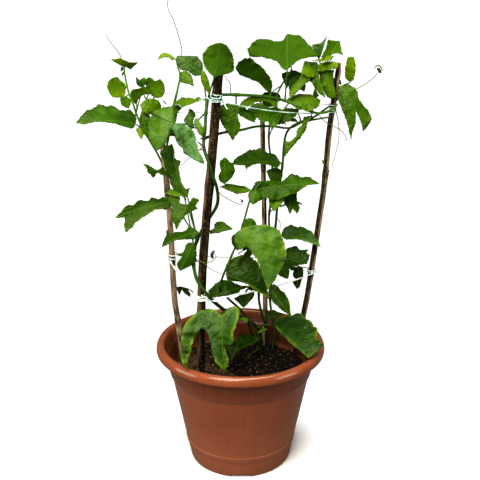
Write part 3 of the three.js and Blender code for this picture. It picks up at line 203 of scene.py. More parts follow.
# A sprig is a bud, a twig or a cut stub: its radius, tone, dryness and route.
VINES = {
    "vine_main": dict(young=False, stems=[
        dict(rooted=True, radius=3, path=[
            (38, 82, 166), (35, 74, 209), (10, 40, 249), (-22, -24, 290), (-44, -76, 331),
            (-52, -94, 349), (-63, -98, 365), (-73, -92, 383), (-77, -82, 411), (-71, -68, 437),
            (-55, -62, 466), (-38, -66, 496), (-37, -78, 524), (-43, -92, 550), (-50, -96, 574),
            (-57, -88, 597), (-55, -78, 623), (-53, -70, 650), (-49, -63, 667), (-29, -60, 672),
            (15, -45, 669), (47, -22, 663), (74, -2, 654), (100, -3, 643), (128, 12, 632), (151, 26, 635),
            (162, 32, 644),
        ], leaves=[
            leaf(0.68, (-59, -42, 700), (-100, -34, 729), (0, -0.84, 0.54), (0.08, 15, 0), (0.25, 0, 0.2),
                 left=[(9, 9), (24, 11), (33, 15), (44, 11)], right=[(10, 15), (25, 20), (39, 9)]),
            leaf(0.69, (-49, -58, 673), (-60, -52, 709), (-0.11, -0.9, 0.42), (0.05, 25, 0), (0.7, 0, 0),
                 left=[(14, 6), (26, 6)], right=[(11, 6), (32, 5)]),
            leaf(0.69, (-58, -58, 665), (-108, -30, 654), (0, -0.4, 0.92), (0.1, 8, 0.18), (0.7, 0, 0),
                 left=[(4, 7), (11, 10), (20, 14), (35, 10)],
                 right=[(9, 10), (13, 3), (34, 19), (52, 20)]),
            leaf(0.66, (-78, -64, 619), (-81, -56, 650), (0.1, -0.94, 0.31), (0.05, 12, 0), (0.5, 0, 0.2),
                 left=[(8, 6), (14, 10), (26, 2)], right=[(1, 7), (12, 5), (21, 10), (29, 6)]),
            leaf(0.63, (-58, -92, 612), (-68, -84, 640), (-0.1, -0.86, 0.5), (0.06, 15, 0), (0.6, 0, 0.5),
                 left=[(6, 4), (17, 6), (27, 5)], right=[(8, 5), (26, 3)]),
            leaf(0.62, (-92, -60, 627), (-56, -104, 572), (-0.35, -0.75, 0.55),
                 (0.08, 14, 0), (0.25, 0, 0.85),
                 left=[(15, 9), (27, 11), (46, 6), (61, 3), (73, 3)],
                 right=[(-13, 15), (-10, 21), (6, 19), (23, 22), (39, 18), (48, 19), (70, 8)]),
            leaf(0.7, (-39, -95, 702), (-29, -104, 754), (0.05, 0.94, 0.33),
                 (0.07, -14, 0), (0.5, 0.35, 0.25),
                 left=[(6, 13), (14, 28), (29, 24), (41, 18), (51, 8)],
                 right=[(6, 10), (16, 20), (27, 24), (39, 20), (49, 11)]),
            leaf(0.81, (50, -18, 667), (-8, -46, 712), (0.13, 0.88, 0.45), (0.05, 10, 0.03), (0.5, 0, 0),
                 left=[(14, 15), (36, 24), (59, 29), (85, 32), (85, 17)],
                 right=[(11, 2), (28, 2), (46, 5), (62, 9)]),
            leaf(0.85, (75, -6, 703), (77, 38, 758), (0, 0.86, 0.5), (0.06, 12, 0), (0.2, 0, 0),
                 left=[(11, 8), (20, 16), (26, 32), (28, 52), (46, 41), (58, 31), (68, 21), (69, 10)],
                 right=[(5, 9), (17, 20), (19, 42), (16, 64), (29, 67), (53, 50), (56, 29), (56, 11)]),
            leaf(0.83, (59, -20, 647), (-1, -52, 650), (0, -0.86, 0.51), (0.1, 8, -0.18), (0.65, 0, 0),
                 left=[(9, 6), (16, 3), (37, 5), (60, 7)],
                 right=[(-6, 17), (6, 12), (27, 3), (45, 6), (64, 7)]),
            leaf(0.76, (-7, -50, 652), (23, -40, 625), (0.1, -0.7, 0.7), (0.05, 15, 0), (0.5, 0, 0),
                 left=[(13, 9), (31, 12)], right=[(12, 8), (28, 6)]),
            leaf(0.86, (71, -2, 639), (6, -34, 639), (0, -0.72, 0.7), (0.05, 8, 0), (0.5, 0, 0),
                 left=[(15, 21), (35, 36), (38, 22), (49, 23), (54, 11), (62, 20), (67, 8)],
                 right=[(13, 5), (28, 6), (39, 16), (53, 16)]),
            leaf(0.89, (97, 12, 638), (53, -6, 614), (0.1, -0.6, 0.8), (0.08, 15, 0), (0.35, 0, 0),
                 left=[(10, 8), (22, 11), (35, 9)], right=[(10, 12), (24, 19), (46, 15)]),
            leaf(0.89, (133, 28, 651), (76, 8, 656), (0, -0.5, 0.87), (0.05, 10, 0), (0.7, 0, 0),
                 left=[(10, 18), (31, 29), (48, 24), (59, 12)], right=[(10, 11), (25, 14), (43, 10)]),
            leaf(0.37, (-87, -36, 500), (-114, 6, 582), (-0.31, -0.93, 0.21), (0, 8, 0.06), (0.35, 0.1, 0),
                 left=[(4, 5), (15, 15), (36, 18), (56, 18), (81, 23), (91, 24), (95, 13)],
                 right=[(14, 11), (17, 3), (36, 3), (53, 5), (63, 10), (73, 2), (86, 3)]),
            leaf(0.37, (-113, -44, 495), (-203, -70, 475), (-0.1, -0.56, 0.82),
                 (0.06, 12, 0), (0.2, 0.35, 0),
                 left=[(10, 13), (28, 11), (50, 17), (70, 25), (88, 34), (87, 21), (81, 7)],
                 right=[(9, 19), (19, 13), (28, 22), (36, 13), (50, 21), (62, 14), (73, 17)]),
            leaf(0.37, (-87, -54, 493), (-104, -70, 455), (0, -0.96, 0.29), (0.05, 15, 0), (0.45, 0.1, 0),
                 left=[(-7, 2), (-16, 4), (-17, 16), (-6, 14), (-1, 19), (13, 7), (27, 2)],
                 right=[(1, 12), (-6, 19), (-2, 39), (12, 22), (27, 18)]),
            leaf(0.35, (-92, -50, 507), (-123, -46, 511), (0, -0.71, 0.71), (0, 10, 0), (0.65, 0.1, 0),
                 left=[(14, 4)], right=[(11, 6), (24, 11)]),
            leaf(0.33, (-68, -84, 456), (-130, -60, 422), (0, -0.71, 0.71), (0.1, 12, 0), (0.25, 0.1, 0),
                 left=[(7, 12), (25, 7), (46, 2), (61, 3)],
                 right=[(13, 18), (20, 10), (31, 10), (49, 13), (61, 26)]),
            leaf(0.32, (-75, -94, 441), (-99, -84, 389), (-0.2, -0.84, 0.5), (0.03, 18, 0), (0.35, 0.1, 0),
                 left=[(11, 11), (28, 17), (41, 12)],
                 right=[(10, 11), (26, 11), (42, 23), (34, 8), (53, 13)]),
            leaf(0.41, (-51, -68, 453), (-12, -60, 453), (0.1, -0.7, 0.7), (0.04, 8, 0), (0.35, 0.1, 0),
                 left=[(8, 4), (11, 13), (23, 16)], right=[(1, 6), (14, 6), (27, 3)]),
            leaf(0.15, (-30, -100, 318), (-24, -132, 228), (0, -0.72, 0.7),
                 (0.1, 10, -0.03), (0.2, 0.5, 0.3),
                 left=[(-9, 9), (-13, 19), (-5, 29), (17, 24), (32, 19), (48, 19), (50, 3), (72, 8)],
                 right=[(-9, 11), (-12, 27), (-8, 43), (2, 58), (20, 67), (45, 69), (72, 70), (91, 67),
                        (63, 55), (37, 47), (22, 38), (20, 31), (28, 23), (51, 18), (69, 16), (87, 7)]),
        ], tendrils=[
            [(128, 12, 632), (141, 16, 617), (166, 24, 603), (176, 24, 593), (179, 26, 584),
             (174, 28, 582)],
            [(-37, -78, 524), (-28, -80, 515), (-4, -84, 503), (3, -84, 504), (2, -84, 510),
             (-2, -84, 510)],
            [(-77, -82, 411), (-60, -98, 408), (-46, -98, 396), (-27, -80, 381)],
            [(-76, -83, 406), (-51, -98, 409), (-40, -98, 417), (-41, -98, 423), (-46, -98, 422)],
            [(-57, -88, 597), (-70, -80, 584), (-83, -64, 571), (-97, -50, 557)],
            [(-15, -55, 671), (-16, -70, 690), (-22, -80, 700), (-27, -86, 705)],
        ]),
        dict(rooted=False, radius=2.2, path=[
            (-57, -84, 606), (-53, -71, 607), (-42, -62, 609), (-24, -58, 613), (2, -48, 615),
            (25, -30, 617), (52, -10, 614), (81, 8, 608), (105, 20, 616), (134, 30, 620), (151, 34, 622),
        ], leaves=[
            leaf(0.35, (-4, -62, 657), (-12, -70, 601), (0.1, -0.96, 0.25), (0.05, 10, 0), (0.55, 0.2, 0),
                 left=[(4, 6), (17, 2), (32, 9), (40, 7)],
                 right=[(0, 13), (3, 25), (18, 27), (33, 21), (50, 6)]),
            leaf(0.83, (118, 6, 628), (72, -12, 562), (0.1, -0.88, 0.47), (0.05, 12, -0.03), (0.55, 0, 0),
                 left=[(15, 2), (21, 6), (33, 7), (49, 6), (67, 3)],
                 right=[(8, 11), (19, 5), (32, 5), (43, 2), (55, 5), (59, 13)]),
        ], tendrils=[]),
    ], sprigs=[
        (1.5, 0.1, 0.8, [(-56, -90, 607), (-59, -90, 609), (-62, -90, 609)]),
        (1.1, 0.1, 0.9, [(-55, -92, 596), (-59, -92, 598), (-63, -92, 602), (-67, -90, 604)]),
        (1.1, 0.1, 0.9, [(-53, -93, 593), (-58, -93, 592), (-63, -92, 592)]),
        (2.6, 0.05, 0.95, [(-42, -98, 429), (-45, -99, 425), (-46, -99, 420), (-44, -98, 416)]),
        (2.4, 0.05, 0.8, [(2, -84, 509), (3, -84, 506)]),
    ]),
    "vine_left": dict(young=True, stems=[
        dict(rooted=True, radius=2.2, path=[
            (-98, 50, 166), (-108, 52, 212), (-121, 50, 282), (-123, 50, 360), (-125, 50, 436),
            (-128, 48, 491), (-132, 45, 524), (-139, 40, 550), (-156, 26, 588), (-172, 16, 627),
            (-177, 12, 647), (-184, 8, 670), (-188, 6, 696),
        ], leaves=[
            leaf(1, (-188, 8, 707), (-193, -4, 723), (0, -0.9, 0.43), (0.03, 6, 0), (0.95, 0.3, 0),
                 left=[(7, 4), (17, 10), (25, 14), (22, 6)],
                 right=[(-2, 3), (-12, 8), (-6, 24), (3, 12), (13, 5)]),
            leaf(0.95, (-188, 12, 673), (-218, 6, 676), (0, 1, -0.04), (0.05, 8, 0), (1, 0, 0),
                 left=[(2, 7), (9, 12), (15, 17), (23, 15), (29, 9)],
                 right=[(1, 11), (10, 16), (20, 16), (26, 11)]),
            leaf(0.9, (-187, 8, 661), (-183, 0, 641), (-0.18, 0.97, 0.19), (0, 15, 0), (0.5, 0, 0),
                 left=[(1, 11), (14, 11)], right=[(10, 6)]),
            leaf(0.78, (-162, 30, 671), (-159, 28, 689), (0, -0.91, 0.41), (0.03, 10, 0), (0.45, 0, 0.5),
                 left=[(3, 11), (17, 15), (12, 8)], right=[(8, 4), (14, 5)]),
            leaf(0.74, (-169, 10, 609), (-165, 0, 589), (0, -0.91, 0.41), (0.03, 10, 0), (0.9, 0.8, 0),
                 left=[(11, 7)], right=[(2, 6)]),
            leaf(0.75, (-153, 34, 662), (-134, 38, 685), (0, 0.98, 0.21), (0.05, 10, 0), (0.75, 0, 0),
                 left=[(0, 13), (8, 21), (20, 19), (28, 10)],
                 right=[(6, 11), (16, 18), (22, 15), (23, 4)]),
            leaf(0.78, (-172, 18, 643), (-150, 24, 675), (0.1, 0.7, 0.7), (0.05, 10, -0.18), (0.7, 0, 0),
                 left=[(11, 2), (20, 7), (29, 14)], right=[(4, 11), (14, 19), (28, 7)]),
            leaf(0.71, (-174, 10, 614), (-262, -46, 625), (-0.04, -0.59, 0.8), (0.06, 4, 0), (0.5, 0, 0),
                 left=[(12, 14), (25, 12), (50, 5), (71, 2), (91, 5)],
                 right=[(-11, 26), (-4, 41), (7, 39), (20, 30), (28, 42), (40, 46), (60, 39), (83, 24)]),
            leaf(0.71, (-161, -2, 638), (-154, -10, 595), (0, -0.93, 0.36), (0.05, 10, 0), (0.5, 0, 0),
                 left=[(6, 10), (20, 13), (37, 7)], right=[(14, 8), (32, 6)]),
            leaf(0.7, (-132, 2, 635), (-163, -8, 649), (0, -0.88, 0.47), (0.15, 12, 0), (0.75, 0, 0),
                 left=[(13, 10), (23, 12), (32, 7)], right=[(0, 13), (10, 18), (22, 16), (30, 11)]),
            leaf(0.48, (-112, 15, 518), (-162, -13, 553), (-0.05, -0.82, 0.57),
                 (0.03, 15, 0.03), (0.45, 0.1, 0),
                 left=[(25, 2), (37, 3), (40, 13), (50, 10)],
                 right=[(25, 11), (32, 16), (38, 3), (58, 2)]),
            leaf(0.25, (-113, 76, 298), (-96, 96, 269), (0.1, 0.7, 0.7), (0.1, 12, 0), (0.28, 0.1, 0),
                 width=0.42, shape="lobed"),
            leaf(0.35, (-118, 76, 405), (-94, 104, 381), (0.1, 0.6, 0.8), (0.12, 12, 0), (0.58, 0.1, 0),
                 width=0.42, shape="lobed"),
            leaf(0.45, (-122, 70, 482), (-115, 104, 450), (0, 0.6, 0.8), (0.1, 12, 0), (0.44, 0.1, 0),
                 width=0.42, shape="lobed"),
        ], tendrils=[
            [(-188, 6, 696), (-194, 4, 727), (-205, 0, 743), (-214, -4, 759)],
        ]),
        dict(rooted=False, radius=1.9, path=[
            (-136, 43, 537), (-128, 45, 563), (-120, 40, 606), (-111, 30, 644), (-100, 24, 688),
            (-102, 22, 704), (-104, 20, 717),
        ], leaves=[
            leaf(0.55, (-109, -22, 647), (-133, -52, 582), (-0.15, -0.9, 0.4), (0.08, 12, 0), (0.6, 0, 0.3),
                 left=[(6, 10), (26, 15), (38, 10), (55, 11), (69, 6)],
                 right=[(6, 21), (24, 31), (51, 26), (67, 15)]),
            leaf(0.44, (-126, -14, 622), (-94, -34, 646), (0, -0.8, 0.6), (0.08, 12, 0), (0.45, 0, 0),
                 left=[(-5, 18), (14, 17), (38, 12)], right=[(20, 12), (27, 7)]),
            leaf(0.84, (-106, 20, 719), (-135, 16, 717), (-0.05, -0.82, 0.57),
                 (0.05, 10, -0.22), (0.9, 0, 0),
                 left=[(6, 6), (12, 3), (22, 2)], right=[(5, 3), (14, 6), (24, 7)]),
            leaf(0.69, (-97, 18, 698), (-75, 2, 677), (0.1, -0.86, 0.5), (0.05, 18, 0), (0.6, 0, 0),
                 left=[(1, 9), (14, 10)], right=[(7, 8), (13, 12), (24, 6)]),
            leaf(0.41, (-116, 22, 614), (-125, 14, 592), (-0.2, -0.9, 0.3), (0.05, 10, 0), (0.4, 0, 0),
                 width=0.6, shape="oval"),
            leaf(0.25, (-116, 66, 591), (-101, 98, 567), (0.2, 0.6, 0.75), (0.12, 12, 0), (0.53, 0.1, 0),
                 width=0.4, shape="oval"),
        ], tendrils=[
            [(-104, 20, 717), (-95, 14, 733), (-105, 8, 776), (-114, 6, 796), (-115, 6, 809),
             (-111, 6, 813)],
        ]),
    ], sprigs=[
        (0.75, 0.1, 1, [(-167, 8, 646), (-152, -8, 640), (-137, -30, 636), (-122, -52, 633),
                        (-108, -58, 629)]),
        (2.2, 0.1, 0.9, [(-191, 6, 708), (-192, 5, 705), (-193, 5, 701)]),
        (1.6, 0.1, 0.9, [(-189, 6, 700), (-191, 5, 697), (-192, 5, 694)]),
        (1.2, 0.1, 1, [(-159, 16, 661), (-157, 14, 657), (-154, 14, 653)]),
        (1.1, 0.1, 1, [(-143, 16, 660), (-143, 15, 655)]),
        (1.1, 0.1, 1, [(-128, 14, 653), (-125, 12, 650), (-123, 12, 647)]),
    ]),
    "vine_middle": dict(young=False, stems=[
        dict(rooted=True, radius=2.2, path=[
            (30, 82, 167), (22, 74, 203), (6, 54, 253), (-19, 0, 303), (-35, -38, 337), (-31, -44, 361),
            (-18, -50, 396), (-4, -52, 432), (6, -48, 465), (14, -42, 493), (21, -38, 510), (35, -30, 527),
        ], leaves=[
            leaf(0.92, (-26, -70, 532), (-25, -66, 575), (0.1, -0.95, 0.3), (0.04, 12, 0), (0.5, 0.1, 0),
                 left=[(5, 7), (13, 9), (22, 6), (35, 8)], right=[(9, 11), (18, 17), (31, 14)]),
            leaf(0.91, (17, -44, 514), (-34, -66, 526), (0, -0.8, 0.6), (0.03, 10, 0), (0.7, 0.1, 0),
                 left=[(13, 6), (31, 8)], right=[(8, 6), (19, 7), (45, 5)]),
            leaf(1, (17, -34, 511), (133, -8, 516), (0, -0.6, 0.8), (0.05, 10, 0), (0.4, 0.1, 0),
                 left=[(7, 10), (16, 20), (33, 17), (54, 11), (69, 22), (84, 24), (103, 18)],
                 right=[(-3, 24), (14, 19), (30, 24), (51, 22), (75, 15), (97, 3)]),
            leaf(0.95, (25, -44, 514), (19, -58, 494), (0, -0.8, 0.55), (0.05, 12, 0), (0.5, 0.1, 0),
                 width=0.42, shape="oval"),
            leaf(1, (59, -22, 510), (55, -50, 480), (0, -0.78, 0.62), (0.05, 10, 0), (0.65, 0.1, 0),
                 left=[(12, 15), (28, 11)], right=[(13, 9), (28, 9)]),
            leaf(0.68, (-4, -76, 455), (44, -112, 368), (-0.2, -0.88, 0.42),
                 (0.06, 14, 0.12), (0.55, 0.4, 0.25),
                 left=[(-1, 17), (5, 32), (13, 44), (30, 50), (51, 46), (73, 41), (86, 28), (97, 16)],
                 right=[(4, 12), (16, 20), (28, 22), (29, 10), (40, 8), (52, 7), (70, 5), (85, 6)]),
            leaf(0.73, (11, -64, 455), (20, -60, 471), (0, -0.9, 0.4), (0, 10, 0), (0.4, 0.1, 0),
                 width=0.6, shape="round"),
            leaf(0.66, (-8, -64, 444), (-5, -68, 418), (-0.3, -0.9, 0.3), (0.05, 12, 0), (0.2, 0.1, 0),
                 width=0.34, shape="oval"),
            leaf(0.6, (-24, -62, 374), (48, -74, 337), (0, -0.96, 0.29), (0.05, 12, 0.06), (0.06, 0.5, 0),
                 left=[(-8, 19), (-4, 32), (12, 43), (35, 39), (55, 28)],
                 right=[(6, 10), (20, 5), (36, 2), (54, 4)]),
            leaf(0.56, (47, -48, 345), (85, -80, 304), (0.2, -0.72, 0.66), (0.05, 12, 0), (0.2, 0.25, 0),
                 left=[(-1, 14), (14, 18), (35, 17)], right=[(15, 9), (35, 9), (51, 4)]),
            leaf(0.48, (4, -26, 338), (-51, -40, 323), (0, -0.8, 0.6), (0.1, 10, 0), (0.25, 0.1, 0),
                 left=[(12, 8), (30, 7), (45, 4)], right=[(10, 11), (20, 20), (36, 23), (58, 14)]),
        ], tendrils=[]),
    ]),
    "vine_right": dict(young=False, stems=[
        dict(rooted=True, radius=2.2, path=[
            (55, 84, 166), (47, 80, 216), (34, 66, 280), (41, 45, 343), (54, 30, 396), (61, 26, 430),
            (63, 22, 459), (66, 16, 500), (71, 12, 544), (73, 14, 578), (78, 16, 600), (93, 24, 612),
            (121, 36, 620), (146, 68, 630), (161, 71, 640), (168, 69, 651), (165, 66, 666),
            (150, 64, 680), (137, 50, 698),
        ], leaves=[
            leaf(0.99, (130, 44, 715), (143, 38, 756), (-0.1, -0.93, 0.36),
                 (0.05, -10, 0.03), (0.35, 0, 0.6),
                 left=[(11, 10), (20, 18), (29, 5)], right=[(11, 2), (25, 2)]),
            leaf(0.99, (150, 46, 723), (166, 60, 745), (0.03, 1, -0.07), (0.12, 15, 0), (0.55, 0, 0),
                 left=[(10, 7), (12, 18), (21, 10)], right=[(-32, 14), (4, 14), (20, 19)]),
            leaf(0.99, (153, 36, 722), (115, 20, 717), (0, -0.3, 0.95), (0.03, 8, 0.14), (0.95, 0, 0),
                 left=[(17, 7), (28, 7)], right=[(7, 12), (27, 2)]),
            leaf(0.89, (185, 54, 677), (183, 44, 721), (-0.21, -0.95, 0.21), (0.05, -20, 0), (1, 0.3, 0),
                 left=[(9, 8), (26, 9), (42, 6)], right=[(9, 7), (29, 10), (43, 6)]),
            leaf(0.84, (166, 42, 672), (193, 24, 634), (-0.1, -0.91, 0.4), (0.05, 10, 0.06), (0.55, 0, 0),
                 left=[(4, 14), (22, 17), (40, 13), (70, 25), (81, 20), (84, 6), (64, 2)],
                 right=[(11, 14), (36, 21), (62, 21), (85, 18), (68, 8)]),
            leaf(1, (162, 34, 709), (124, 26, 707), (0, -0.71, 0.71), (0.03, 18, 0), (0.9, 0, 0),
                 left=[(2, 6), (17, 9), (36, 10)], right=[(-1, 6), (21, 9)]),
            leaf(0.99, (142, 34, 700), (151, 26, 653), (0, -0.97, 0.25), (0.05, 12, 0), (0.65, 0, 0),
                 left=[(2, 13), (18, 9), (47, 9)], right=[(-1, 13), (14, 13), (40, 8)]),
            leaf(0.99, (111, 18, 695), (81, 0, 656), (-0.1, -0.94, 0.31), (0, 12, 0), (0.65, 0, 0),
                 left=[(5, 7), (19, 5)], right=[(1, 10), (18, 10), (39, 10)]),
            leaf(0.99, (120, 24, 714), (140, 12, 656), (-0.21, -0.93, 0.31), (0, 12, -0.03), (0.55, 0, 0),
                 left=[(2, 7), (24, 3), (45, 3)], right=[(0, 7), (22, 12), (41, 10)]),
            leaf(0.99, (125, 30, 704), (98, 8, 697), (0, -0.92, 0.4), (0.04, 15, 0), (0.85, 0, 0),
                 left=[(8, 14), (24, 11)], right=[(-1, 15), (14, 18)]),
            leaf(0.65, (83, 44, 662), (97, 36, 692), (0.21, -0.93, 0.31), (0.05, 15, 0.06), (0.4, 0, 0.5),
                 left=[(6, 4), (19, 8)], right=[(15, 2), (26, 2)]),
            leaf(0.68, (128, 50, 652), (124, 36, 670), (0, -0.95, 0.32), (0, 10, 0), (0.95, 0, 0),
                 left=[(8, 5)], right=[(1, 6)]),
            leaf(0.47, (68, 8, 549), (-14, -40, 556), (-0.05, -0.51, 0.86), (0.05, 6, 0), (0.35, 0.1, 0),
                 left=[(17, 16), (32, 9), (50, 6), (67, 10), (76, 17), (75, 6)],
                 right=[(-3, 22), (9, 36), (28, 41), (48, 34), (83, 14)]),
            leaf(0.42, (69, 10, 522), (43, 0, 537), (0, -0.9, 0.4), (0.05, 10, 0), (0.55, 0.1, 0),
                 width=0.42, shape="oval"),
            leaf(0.39, (84, 4, 501), (83, -24, 468), (0, -0.82, 0.57), (0.05, 12, 0), (0.35, 0.1, 0),
                 left=[(0, 12), (20, 13), (31, 17), (42, 12), (34, 5)],
                 right=[(15, 12), (28, 7), (38, 3)]),
            leaf(0.28, (71, 14, 419), (138, -18, 407), (0.05, -0.6, 0.8), (0.05, 12, 0.03), (0.3, 0.1, 0.2),
                 left=[(-5, 21), (5, 31), (24, 31), (45, 26)], right=[(12, 8), (31, 4), (51, 2)]),
            leaf(0.24, (81, 24, 373), (117, 10, 367), (0, -0.96, 0.29), (0.03, 12, 0), (0.3, 0.1, 0),
                 left=[(-6, 17), (10, 26), (20, 21), (34, 27), (32, 19), (40, 17)],
                 right=[(-1, 11), (15, 20), (19, 9)]),
            leaf(0.22, (70, 16, 363), (84, 6, 340), (0, -0.8, 0.5), (0.05, 10, 0), (0.3, 0.1, 0),
                 width=0.4, shape="oval"),
            leaf(0.22, (106, 44, 351), (102, 34, 310), (0, -0.86, 0.51), (0.05, 10, 0), (0.08, 0.1, 0),
                 left=[(3, 7), (15, 9), (36, 5)], right=[(6, 8), (18, 10), (24, 4), (30, 10)]),
            leaf(0.17, (24, 10, 316), (6, -6, 290), (0, -0.86, 0.51), (0.05, 12, 0), (0.1, 0.1, 0),
                 left=[(10, 5)], right=[(14, 14), (30, 25)]),
            leaf(0.1, (44, 78, 232), (82, 82, 238), (0.1, -0.86, 0.5), (0.1, 12, 0), (0.1, 0.2, 0),
                 left=[(8, 10), (21, 14)], right=[(10, 2)]),
            leaf(0.84, (184, 80, 647), (208, 104, 619), (0.3, 0.6, 0.7), (0.12, 12, 0), (0.35, 0.1, 0),
                 width=0.42, shape="lobed"),
            leaf(0.92, (159, 82, 681), (158, 116, 660), (0, 0.6, 0.8), (0.12, 12, 0), (0.57, 0.1, 0),
                 width=0.46, shape="lobed"),
        ], tendrils=[
            [(167, 68, 656), (198, 60, 666), (221, 58, 681), (230, 56, 691), (235, 55, 696),
             (233, 54, 701), (230, 54, 700), (230, 55, 697)],
            [(161, 70, 640), (170, 74, 608), (172, 72, 575), (165, 72, 543), (161, 72, 527)],
            [(62, 23, 449), (68, 10, 444), (68, 4, 432), (65, 0, 422)],
        ]),
    ], sprigs=[
        (2.6, 0, 1, [(230, 54, 701), (232, 54, 699), (235, 54, 695), (236, 54, 693)]),
        (1.2, 0.9, 0.25, [(225, 55, 700), (228, 55, 704), (233, 55, 705), (237, 55, 701), (239, 55, 696)]),
        (2.4, 0.95, 0.05, [(144, 73, 539), (150, 73, 531), (157, 73, 518)]),
        (2, 0.6, 0.85, [(36, 4, 539), (40, 3, 533), (40, 2, 524)]),
    ]),
    "vine_rear": dict(young=False, stems=[
        dict(rooted=True, radius=2.2, path=[
            (62, 84, 164), (66, 94, 196), (57, 112, 257), (62, 114, 338), (53, 112, 417), (60, 112, 494),
            (51, 112, 568), (56, 108, 622), (69, 98, 662), (88, 84, 695),
        ], leaves=[
            leaf(0.3, (30, 120, 278), (-17, 142, 261), (-0.1, 0.6, 0.8), (0.12, 12, 0), (0.48, 0.1, 0),
                 width=0.4, shape="lobed"),
            leaf(0.4, (85, 128, 328), (116, 140, 295), (0.2, 0.6, 0.75), (0.12, 12, 0), (0.37, 0.1, 0),
                 width=0.44, shape="lobed"),
            leaf(0.45, (33, 128, 367), (7, 146, 322), (-0.2, 0.75, 0.6), (0.1, 12, 0), (0.29, 0.1, 0),
                 width=0.42, shape="lobed"),
            leaf(0.52, (79, 126, 442), (118, 142, 438), (0.2, 0.55, 0.8), (0.14, 12, 0), (0.58, 0.1, 0),
                 width=0.4, shape="lobed"),
            leaf(0.58, (40, 130, 470), (30, 156, 438), (-0.1, 0.6, 0.8), (0.12, 12, 0), (0.63, 0.1, 0),
                 width=0.42, shape="lobed"),
            leaf(0.65, (39, 126, 532), (5, 140, 529), (-0.2, 0.6, 0.75), (0.14, 12, 0), (0.3, 0.1, 0),
                 width=0.36, shape="oval"),
            leaf(0.71, (69, 124, 605), (105, 146, 594), (0.1, 0.65, 0.75), (0.1, 12, 0), (0.56, 0.1, 0),
                 width=0.44, shape="lobed"),
            leaf(0.81, (40, 124, 616), (12, 150, 601), (-0.2, 0.6, 0.8), (0.12, 12, 0), (0.42, 0.1, 0),
                 width=0.42, shape="lobed"),
            leaf(0.91, (56, 112, 653), (46, 140, 614), (-0.1, 0.75, 0.6), (0.1, 12, 0), (0.32, 0.1, 0),
                 width=0.4, shape="oval"),
            leaf(0.95, (86, 100, 690), (114, 130, 651), (0.2, 0.7, 0.65), (0.12, 12, 0), (0.38, 0.1, 0),
                 width=0.46, shape="lobed"),
            leaf(1, (85, 88, 708), (58, 108, 726), (-0.2, 0.7, 0.7), (0.08, 12, 0), (0.55, 0.1, 0),
                 width=0.46, shape="lobed"),
        ], tendrils=[]),
    ]),
    "vine_low": dict(young=False, stems=[
        dict(rooted=True, radius=2, path=[
            (39, 68, 168), (41, 60, 195), (29, 48, 215), (32, 38, 233), (50, 32, 242),
        ], leaves=[
            leaf(0.86, (62, 4, 251), (116, -84, 231), (-0.2, -0.5, 0.84), (0.06, 10, 0), (0.12, 0.4, 0.12),
                 left=[(-16, 13), (-15, 28), (-5, 44), (4, 53), (32, 53), (63, 51), (79, 37), (99, 38),
                       (104, 17)],
                 right=[(26, 5), (52, 5), (77, 4)]),
            leaf(0.52, (30, 26, 209), (-9, -6, 206), (0, -0.86, 0.51), (0.05, 14, -0.03), (0.12, 0.2, 0),
                 left=[(18, 2), (35, 3)], right=[(4, 18), (16, 25), (35, 21)]),
            leaf(0.52, (-5, -4, 215), (-17, -26, 196), (-0.1, -0.86, 0.5), (0.05, 12, 0), (0.08, 0.1, 0),
                 left=[(5, 7)], right=[(3, 24), (19, 9)]),
            leaf(0.6, (15, 10, 260), (-3, 4, 265), (0, -0.71, 0.71), (0.1, 10, 0), (0.9, 0.1, 0),
                 left=[(4, 6)], right=[(8, 4)]),
        ], tendrils=[]),
    ], sprigs=[
        (2.9, 1, 0, [(32, 58, 212), (40, 56, 217), (49, 54, 222)]),
        (1.1, 0.5, 0, [(39, 66, 177), (29, 58, 175), (18, 46, 174), (8, 34, 168)]),
        (1, 0.5, 0, [(20, 48, 173), (15, 40, 165), (13, 32, 152)]),
    ]),
}


